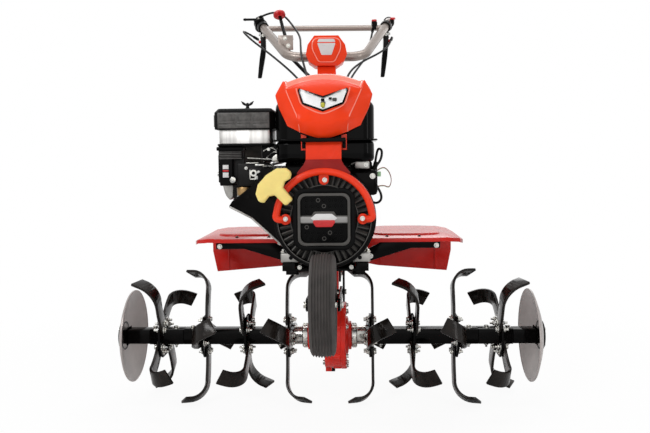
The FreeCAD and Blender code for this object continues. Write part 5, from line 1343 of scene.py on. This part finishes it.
class TILLER_OT_fenders(bpy.types.Operator):
    """Pressed fenders with their aprons and struts"""

    bl_idname = "tiller.fenders"
    bl_label = "Fenders"

    def execute(self, context):
        for side, hand in HANDS:
            piece = Piece(f"fender_sheet_{hand}").add(powder_red, copied(f"fender_{hand}", 1.4, 3, 24))
            outline = [(side * 112, -64), (side * 292, -64), (side * 292, 158), (side * 112, 158)]
            field = plate("XY", outline, 440, 455, 48, 0, 2, 10)
            piece.add(powder_red, soften(field, 7, 5, edges=edges_above(field, 454)))
            for x, foot in ((140, 337.68), (300, 324.88)):
                rib = [(side * x, foot), (side * (x + 5), foot), (side * (x + 5), 424), (side * x, 424)]
                piece.add(powder_red, plate("XZ", rib, 184.5, 187.5, 2, 0.9))
            for x in (150, 232):
                piece.add(black_enamel, bolt((side * x, -92, 450), UP, 6, 2.5, 0.8))
            piece.bolts([(side * x, 187, 404) for x in (150, 280)], FRONT, 9, 4, 1.2)
            piece.done("chassis", "sheet_red", [f"fender_{hand}"], angle=30)
            strut = Piece(f"strut_{hand}").add(black_enamel, copied(f"fender_strut_{hand}", 1.0))
            strut.bolts([(side * x, -118, z) for x, z in ((272, 430), (108, 404))], FRONT, 7.5, 4, 1.2)
            strut.done("chassis", "black_paint", [f"fender_strut_{hand}"])
        return {"FINISHED"}


class TILLER_OT_hitch(bpy.types.Operator):
    """Drawbar bracket, depth stake and its clamp"""

    bl_idname = "tiller.hitch"
    bl_label = "Hitch and stake"

    def execute(self, context):
        piece = Piece("drawbar").add(black_enamel, copied("hitch_bracket", 1.4))
        pin = [(430, 9.6), (438, 9.6), (440, 14), (445, 14), (447, 12), (447, 0)]
        piece.add(zinc_plate, turned(pin, (0, 210, 0), UP, 32))
        for side in SIDES:
            piece.bolts([(side * 30, y, 330) for y in (80, 120)], (side, 0, 0), 11, 5, 1.6)
        piece.done("chassis", "black_paint", ["hitch_bracket"])
        stake = Piece("stake_bar").add(black_enamel, copied("depth_stake", 1.2))
        rim = [(5.4, 4.2), (6.1, 4.2), (6.1, 3.2), (5, 3)]
        for z, side in itertools.product(range(470, 245, -32), SIDES):
            stake.add(dark_cast, turned(rim, (0, 262, z), (side, 0, 0), 16))
        stake.done("stake", "black_paint", ["depth_stake"])
        clamp = Piece("stake_screw").add(zinc_plate, copied("stake_clamp", 0.8))
        clamp.add(black_abs, *[ball((x, 309, 390), 7, (1, 1, 1), 16) for x in (-30, 30)])
        clamp.done("chassis", "zinc", ["stake_clamp"])
        return {"FINISHED"}


# --- handle ------------------------------------------------------------------------------

BEND = Vector((122, 460, 976))
SHOULDER = Vector((236, 770, 1142))
GRIP_END = Vector((242, 905, 1150))
# The hand levers' blades, in metres: the middle of each from the centre line, the shift of the pair to
# one side, how much wider than their nodes they are, and how they lean below a height.
LEVER_MIDDLE, LEVER_SHIFT, LEVER_WIDER, LEVER_SPLAY, LEVER_TOP = 0.228, -0.032, 1.12, 0.13, 1.045
# One rib of the grip: shares of the pitch along it, and radii in millimetres.
GRIP_RIB = ((0, 17), (0.2, 18.3), (0.55, 18.3), (0.75, 17))


def on_bar(y, side=1):
    """A point on the bar's centre line between its bend and its shoulder, in the handle's own frame."""
    spot = BEND + (SHOULDER - BEND) * ((y - BEND.y) / (SHOULDER.y - BEND.y))
    return Vector((side * spot.x, spot.y, spot.z))


def ribbed_grip(side):
    """A ribbed sleeve from its closed end towards the bar's shoulder."""
    end = Vector((side * GRIP_END.x, GRIP_END.y, GRIP_END.z))
    knee = Vector((side * SHOULDER.x, SHOULDER.y, SHOULDER.z))
    back = (knee - end).normalized()
    count = sizes().grip_ribs
    profile = [(-6, 0), (-6, 14), (-4.5, 17.5), (-3, 19.5), (0, 20.5), (3, 20), (4.5, 17.6)]
    pitch = 96 / count
    for index in range(count):
        start = 8 + index * pitch
        profile += [(start + pitch * share, radius) for share, radius in GRIP_RIB]
    profile += [(106, 18), (109, 20.5), (112, 20.5), (114, 18.5), (114, 15.2)]
    return turned(profile, end, back, 40)


class TILLER_OT_handle(bpy.types.Operator):
    """Swivel post, tilt bolt, stem, handlebar and grips"""

    bl_idname = "tiller.handle"
    bl_label = "Handle"

    def execute(self, context):
        post = Piece("swivel_post").add(black_enamel, copied("handle_post", 1.4))
        for x, y in around(4, 39):
            post.add(zinc_plate, slewed(bolt((x, SWIVEL_Y + y, 584), UP, 11, 5, 1.5)))
        post.done("handle_swivel", "black_paint", ["handle_post"])
        shank = bar((-42, SWIVEL_Y, TILT_Z), (42, SWIVEL_Y, TILT_Z), 6)
        pivot = Piece("tilt_bolt").add(zinc_plate, slewed(shank))
        for side in SIDES:
            pivot.add(zinc_plate, slewed(bolt((side * 42, SWIVEL_Y, TILT_Z), (side, 0, 0), 15, 6, 1.6)))
        pivot.done("handle_swivel", "zinc", ["handle_bolt"])

        stem = Piece("stem_beam").add(guard_red, copied("handle_stem", 3.5, 3, 30, 0.5))
        stem.done("handle_frame", "hood_red", ["handle_stem"])

        piece = Piece("bent_bar").add(handle_paint, copied("handlebar", 0.7, 2, 50, 0.15))
        button = on_bar(752) + Vector((17, -4, 0))
        piece.add(knob_red,
                  slewed(bar(button + Vector((0, -2, 12)), button + Vector((0, -3, 20)), 10, 24, 3)))
        piece.add(black_abs,
                  slewed(bar(button + Vector((-8, 0, -2)), button + Vector((0, -2, 13)), 8, 20, 1)))
        for x, z in ((-146, 1024), (-124, 1024), (-135, 1048)):
            piece.add(zinc_plate, slewed(bolt((x, 534, z), FRONT, 8, 3.5, 1)))
        piece.done("handle_frame", "handle_paint", ["handlebar"], angle=40)

        grips = Piece("ribbed_grips")
        for side in SIDES:
            grips.add(grip_rubber, slewed(ribbed_grip(side)))
        grips.done("handle_frame", "grip_rubber", ["handle_grips"], angle=30)
        return {"FINISHED"}


class TILLER_OT_console(bpy.types.Operator):
    """Moulded console with its blank plate"""

    bl_idname = "tiller.console"
    bl_label = "Console"

    def execute(self, context):
        piece = Piece("console_shell").add(hood_abs, copied("handle_console", 6, 4, 30, 0.5))
        outline = [(-26, 950), (26, 950), (47, 992), (46, 1018), (32, 1028), (-32, 1028), (-46, 1018),
                   (-47, 992)]
        middle = [(x * 0.93, 990 + (z - 990) * 0.93) for x, z in outline]
        label = [(-16, 973), (16, 973), (29, 1010), (-29, 1010)]
        strip = [(-29, 1013), (29, 1013), (24, 1023), (-24, 1023)]
        groove = [(-28, 940), (28, 940), (36, 948), (-36, 948)]
        # The console's outer rim is drawn in the lighter red that paints its highlight.
        for make, points, front, back, corner, rounding, steps in (
                (hood_painted_highlight, outline, 395.4, 399, 10, 1.2, 3), (hood_abs, middle, 394.5, 399, 9, 1.2, 3),
                (pale_label, label, 393.2, 396, 3, 0.6, 2), (pale_label, strip, 393.6, 396, 3, 0.6, 2),
                (guard_red, groove, 397, 399, 2, 0.8, 2)):
            piece.add(make, slewed(plate("XZ", points, front, back, corner, rounding, steps)))
        piece.done("handle_frame", "hood_red", ["handle_console"], angle=30)
        return {"FINISHED"}


class TILLER_OT_controls(bpy.types.Operator):
    """Clutch and reverse levers, throttle, stop switch and gear lever"""

    bl_idname = "tiller.controls"
    bl_label = "Controls"

    def execute(self, context):
        clamps = Piece("lever_brackets").add(dark_cast, copied("lever_clamps", 1.2))
        blades = copied("clutch_levers", 3, 3, 30, 0.5)
        for vert in blades.verts:
            middle = LEVER_MIDDLE * (1 if vert.co.x > 0 else -1) + LEVER_SHIFT
            low = max(0, LEVER_TOP - vert.co.z)
            vert.co.x = middle + (vert.co.x - middle) * LEVER_WIDER - LEVER_SPLAY * low
        levers = Piece("hand_levers").add(black_abs, blades)
        for side in SIDES:
            top = on_bar(724, side)
            clamps.add(zinc_plate,
                       slewed(bar(top + Vector((-12, 0, -38)), top + Vector((12, 0, -38)), 3.4, 16)))
            clamps.add(zinc_plate,
                       slewed(bolt(top + Vector((side * 11, 0, -26)), (side, 0, 0), 8, 4, 1)))
            clamps.add(zinc_plate, slewed(bolt(top + Vector((0, -14, -30)), FRONT, 7, 4, 1, 5)))
            start, end = top + Vector((side * 7, -6, -52)), top + Vector((side * 17, -6, -52))
            levers.add(knob_red, slewed(bar(start, end, 5.5, 20, 1.5)))
            levers.add(zinc_plate,
                       slewed(bar(top + Vector((-8, -2, -60)), top + Vector((8, -2, -60)), 3.2, 16)))
        clamps.done("handle_frame", "zinc", ["lever_clamps"])
        levers.done("handle_frame", "black_plastic", ["clutch_levers"], angle=40)

        throttle = Piece("throttle_body").add(black_abs, copied("throttle_lever", 1.5, 3, 35, 0.4))
        middle = on_bar(750, -1)
        lean = (-0.3, -0.35, 0.9)
        boss = [(0, 0), (0, 17), (2, 19), (12, 19), (14, 17), (14, 0)]
        throttle.add(black_abs, slewed(turned(boss, middle + Vector((-4, -6, 8)), lean, 32)))
        throttle.add(zinc_plate, slewed(bolt(middle + Vector((-8, -11, 20.5)), lean, 8, 3, 1)))
        throttle.add(black_abs, slewed(ball(middle + Vector((-56, -4, 18)), 6, (1.3, 1.1, 0.8), 20)))
        throttle.done("handle_frame", "black_plastic", ["throttle_lever"], angle=40)

        switch = Piece("stop_button").add(black_abs, copied("stop_switch", 1.2, 3, 35, 0.4))
        switch.add(black_abs, slewed(bar((176, 700, 1110), (176, 700, 1129), 10, 24, 1)))
        switch.add(knob_red, slewed(bar((176, 700, 1129), (176, 700, 1137), 9.4, 24, 2.2)))
        switch.done("handle_frame", "black_plastic", ["stop_switch"], angle=40)

        rod = Piece("gear_rod").add(black_enamel, copied("shift_lever", 0.4, 2, 60, 0.1))
        rod.done("handle_frame", "handle_paint", ["shift_lever"], angle=50)
        knob = [(-17, 0), (-17, 5), (-9, 6), (-6, 10), (-5, 18), (-2, 21), (4, 21.5), (8, 18), (10, 11),
                (11, 0)]
        shape = turned(knob, centre("shift_knob"), (-0.16, 0.5, 0.85), 40)
        top = Piece("gear_knob").add(knob_red, shape)
        top.done("handle_frame", "cast_red", ["shift_knob"], angle=50)
        return {"FINISHED"}


# --- cables ------------------------------------------------------------------------------

# The points that control each cable's smooth line, in the handle's own frame, from lever to clip.
CABLES = {
    "throttle": [(-224, 734, 1158), (-182, 712, 1172), (-140, 682, 1150), (-108, 624, 1102),
                 (-84, 552, 1056), (-82, 478, 1016), (-80, 424, 978), (-70, 388, 936), (-56, 340, 884),
                 (-44, 284, 822), (-41, 236, 764), (-37, 190, 716)],
    "clutch": [(-254, 736, 1086), (-278, 712, 1098), (-289, 668, 1096), (-256, 630, 1060),
               (-208, 582, 1019), (-158, 528, 974), (-108, 460, 924), (-68, 376, 872), (-58, 310, 822),
               (-52, 246, 762), (-49, 190, 703)],
    "reverse": [(236, 704, 1066), (222, 652, 1036), (182, 600, 1004), (120, 533, 969), (72, 452, 926),
                (52, 360, 862), (50, 290, 800), (48, 238, 750), (50, 190, 703)],
    "switch": [(168, 684, 1092), (156, 650, 1042), (138, 604, 990), (108, 532, 950), (78, 450, 905),
               (54, 366, 846), (44, 300, 800), (40, 240, 757), (38, 190, 716)],
}
# The same cables from the clip to the engine and the gear case.
TAILS = {
    "throttle": [(-52, 150, 704), (-76, 104, 692), (-93, 40, 664), (-114, -30, 640), (-130, -96, 638),
                 (-138, -152.2, 633)],
    "clutch": [(-60, 150, 650), (-67, 114, 609), (-57, 84, 588), (-50, 70, 561.3)],
    "reverse": [(44, 148, 660), (58, 112, 618), (54, 84, 592), (50, 70, 561.3)],
    "switch": [(44, 126, 688), (76, 60, 664), (104, -10, 642), (122, -70, 614), (116, -106, 584),
               (90.2, -114, 569)],
}
# The tails are cut in two behind the post: the part towards the engine and the part towards the handle.
TAIL_CUT = 132
# The lamp's lead, and the thin pair beside it.
LEAD = [(88, -146, 570), (104, -146, 570), (113, -144, 598), (119, -142, 626), (122, -142, 652),
        (127, -144, 673), (137, -152, 668), (134, -162, 645), (119, -168, 626), (114, -170, 602),
        (122, -168, 582), (134, -162, 562), (134, -156, 545), (120, -152, 537), (104, -150, 548),
        (88, -150, 548)]
PAIR = [(120.6, -166, 616), (137, -158, 629), (153, -154, 617), (160, -152, 595), (154, -150, 575),
        (140, -154, 583), (125.6, -163, 580)]


def slewed_point(point):
    """Where a point of the handle's own frame stands, in millimetres."""
    pivot = Vector((0, SWIVEL_Y, 0))
    return pivot + SLEW @ (Vector(point) - pivot)


class TILLER_OT_cables(bpy.types.Operator):
    """Control cables, their clip, and their tails to the engine and gear case, cut in two behind the post
    """

    bl_idname = "tiller.cables"
    bl_label = "Cables"

    def execute(self, context):
        radius = sizes().cable_radius / MM
        upper = Piece("cable_runs")
        for route in CABLES.values():
            upper.add(cable_pvc, slewed(smooth_line(route, radius, 16)))
        for x_from, x_to in ((-57, -29.3), (29.3, 57)):
            upper.add(black_enamel, slewed(block((x_from, 204, 693), (x_to, 209, 755), 1.2)))
        upper.done("handle_frame", "cable_black", ["control_cables"], angle=50)
        near, far = Piece("cable_tails_engine"), Piece("cable_tails_handle")
        for name, route in TAILS.items():
            before, start = [slewed_point(point) for point in CABLES[name][-2:]]
            leave = start + (start - before).normalized() * 16
            points = [start, leave] + [Vector(point) for point in route]
            for piece, keep_front in ((near, True), (far, False)):
                shape = smooth_line(points, radius, 16)
                bmesh.ops.bisect_plane(shape, geom=everything(shape), plane_co=place(0, TAIL_CUT, 0),
                                       plane_no=BACK, clear_outer=keep_front,
                                       clear_inner=not keep_front)
                piece.add(cable_pvc, shape)
        tail = near.done(None, "cable_black", angle=50)
        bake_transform(tail)
        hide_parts("cable_tails")
        head = far.done(None, "cable_black", angle=50)
        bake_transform(head)

        wiring = Piece("lamp_lead").add(cable_pvc, smooth_line(LEAD, 3, 16))
        red = [(x, y - 0.9, z + 0.7) for x, y, z in PAIR]
        green = [(x, y + 0.9, z - 0.7) for x, y, z in PAIR]
        wiring.add(red_wire, smooth_line(red, 0.9, 8)).add(green_wire, smooth_line(green, 0.9, 8))
        wiring.add(black_abs, block((112, -174, 592), (124, -162, 630), 2))
        wiring.add(green_wire, block((124, -170, 604), (133, -163, 616), 1.5))
        wiring.add(black_abs, bar((118, -168, 628), (121, -166, 640), 5, 16, 1))
        wiring.done("chassis", "cable_black", ["lamp_wiring"], angle=45)
        return {"FINISHED"}


# --- stage -------------------------------------------------------------------------------

# Each lamp's place, the point that it looks at, its two sides in metres, and its power.
LAMPS = (
    ("key softbox", (-1.6, -2.2, 2.2), (0, -0.1, 0.5), (1.5, 0.4), 28),
    ("front softbox", (0.2, -3.4, 0.8), (0, -0.1, 0.55), (3.2, 2.2), 16),
    ("fill softbox", (2.2, -1.4, 1.3), (0, -0.1, 0.5), (0.35, 1.6), 7),
    ("top softbox", (0, 0.3, 2.8), (0, 0, 0.5), (1.8, 0.6), 16),
    ("back softbox", (0.4, 2.4, 1.8), (0, 0.1, 0.6), (2.0, 1.0), 14),
)
# How strongly the white room lights the machine; the camera and the reflections see it at 1.
ROOM_LIGHT = 0.42
# The floor fades into the white room: two distances in metres, and its share of white at each.
FLOOR_FADE, FLOOR_WHITE = (0.55, 1.5), (0.93, 1.0)
CAMERA_LENS = 40.72
CAMERA_AT = Vector((0.066, -2.158, 0.650))
CAMERA_YAW, CAMERA_DOWN, CAMERA_ROLL = math.radians(-2.23), math.radians(4.55), math.radians(0.65)


def add_lamp(name, at, aim, size, power):
    """A soft rectangular lamp that looks at a point."""
    light = bpy.data.lights.new(name, "AREA")
    light.shape = "RECTANGLE"
    light.size, light.size_y = size
    light.energy = power
    lamp = bpy.data.objects.new(name, light)
    direction = Vector(aim) - Vector(at)
    lamp.matrix_world = Matrix.Translation(at) @ direction.to_track_quat("-Z", "Y").to_matrix().to_4x4()
    bpy.context.scene.collection.objects.link(lamp)


class TILLER_OT_stage(bpy.types.Operator):
    """Floor, lamps, surroundings and camera"""

    bl_idname = "tiller.stage"
    bl_label = "Stage"

    def execute(self, context):
        scene = context.scene
        scene.view_settings.view_transform = "Standard"
        shape = bmesh.new()
        bmesh.ops.create_grid(shape, x_segments=1, y_segments=1, size=14)
        mesh = bpy.data.meshes.new("floor")
        shape.to_mesh(mesh)
        shape.free()
        paper = finish(floor_paper)
        tree = paper.node_tree
        shader = tree.nodes["Principled BSDF"]
        glow = add_node(tree, "ShaderNodeEmission", strength=1.0)
        path = add_node(tree, "ShaderNodeLightPath")
        spot = add_node(tree, "ShaderNodeTexCoord").outputs["Object"]
        away = add_node(tree, "ShaderNodeVectorMath", [("Vector", spot)], operation="LENGTH")
        fade = add_node(tree, "ShaderNodeMapRange", [("Value", away.outputs["Value"])])
        set_range(fade, *FLOOR_FADE, *FLOOR_WHITE)
        share = add_node(tree, "ShaderNodeMath",
                         [(0, path.outputs["Is Camera Ray"]), (1, fade.outputs["Result"])],
                         operation="MULTIPLY")
        mix = add_node(tree, "ShaderNodeMixShader",
                       [(0, share.outputs["Value"]), (1, shader.outputs["BSDF"]),
                        (2, glow.outputs["Emission"])])
        tree.links.new(mix.outputs["Shader"], tree.nodes["Material Output"].inputs["Surface"])
        mesh.materials.append(paper)
        floor = bpy.data.objects.new("floor", mesh)
        scene.collection.objects.link(floor)

        world = bpy.data.worlds.new("White room")
        world.use_nodes = True
        scene.world = world
        tree = world.node_tree
        path = add_node(tree, "ShaderNodeLightPath")
        seen = add_node(tree, "ShaderNodeMath",
                        [(0, path.outputs["Is Camera Ray"]), (1, path.outputs["Is Glossy Ray"])],
                        operation="ADD")
        seen = add_node(tree, "ShaderNodeMath",
                        [(0, seen.outputs["Value"]), (1, path.outputs["Is Transmission Ray"])],
                        operation="ADD", use_clamp=True)
        level = add_node(tree, "ShaderNodeMapRange", [("Value", seen.outputs["Value"])])
        set_range(level, 0, 1, ROOM_LIGHT, 1.0)
        background = tree.nodes["Background"]
        background.inputs["Color"].default_value = (1, 1, 1, 1)
        tree.links.new(level.outputs["Result"], background.inputs["Strength"])

        for lamp in LAMPS:
            add_lamp(*lamp)

        ahead = Vector((math.sin(CAMERA_YAW), math.cos(CAMERA_YAW), 0)) * math.cos(CAMERA_DOWN)
        ahead.z = -math.sin(CAMERA_DOWN)
        right = ahead.cross(Vector(UP)).normalized()
        up = right.cross(ahead)
        right, up = (right * math.cos(CAMERA_ROLL) - up * math.sin(CAMERA_ROLL),
                     up * math.cos(CAMERA_ROLL) + right * math.sin(CAMERA_ROLL))
        lens = bpy.data.cameras.new("camera")
        lens.sensor_width = 36
        lens.lens = CAMERA_LENS
        camera = bpy.data.objects.new("camera", lens)
        turn = Matrix((right, up, -ahead)).transposed().to_4x4()
        camera.matrix_world = Matrix.Translation(CAMERA_AT) @ turn
        scene.collection.objects.link(camera)
        scene.camera = camera
        return {"FINISHED"}


# --- panel and registration --------------------------------------------------------------

OPERATORS = (
    TILLER_OT_stage, TILLER_OT_cables, TILLER_OT_rotor, TILLER_OT_tines, TILLER_OT_guard_discs,
    TILLER_OT_final_drive, TILLER_OT_transmission, TILLER_OT_base_frame, TILLER_OT_wheel,
    TILLER_OT_engine, TILLER_OT_starter, TILLER_OT_front_guard, TILLER_OT_hood, TILLER_OT_tank,
    TILLER_OT_air_cleaner, TILLER_OT_muffler, TILLER_OT_fenders, TILLER_OT_hitch, TILLER_OT_handle,
    TILLER_OT_console, TILLER_OT_controls,
)


class TILLER_PT_panel(bpy.types.Panel):
    """Lists the machine's settings and the pieces that can be built"""

    bl_label = "Garden tiller"
    bl_idname = "TILLER_PT_panel"
    bl_space_type = "VIEW_3D"
    bl_region_type = "UI"
    bl_category = "Tiller"

    def draw(self, context):
        for group in (context.scene.tiller_colours, context.scene.tiller_sizes):
            for key in group.__annotations__:
                self.layout.prop(group, key)
        for operator in OPERATORS:
            self.layout.operator(operator.bl_idname)


CLASSES = (TillerColours, TillerSizes, *OPERATORS, TILLER_PT_panel)


def register():
    for kind in CLASSES:
        bpy.utils.register_class(kind)
    bpy.types.Scene.tiller_colours = bpy.props.PointerProperty(type=TillerColours)
    bpy.types.Scene.tiller_sizes = bpy.props.PointerProperty(type=TillerSizes)


def unregister():
    del bpy.types.Scene.tiller_colours
    del bpy.types.Scene.tiller_sizes
    for kind in reversed(CLASSES):
        bpy.utils.unregister_class(kind)


def main():
    """Builds every piece in order."""
    register()
    for operator in OPERATORS:
        name = operator.bl_idname.split(".")[1]
        if getattr(bpy.ops.tiller, name)() != {"FINISHED"}:
            raise RuntimeError(f"{operator.bl_label} wasn't built")


if __name__ == "__main__":
    main()
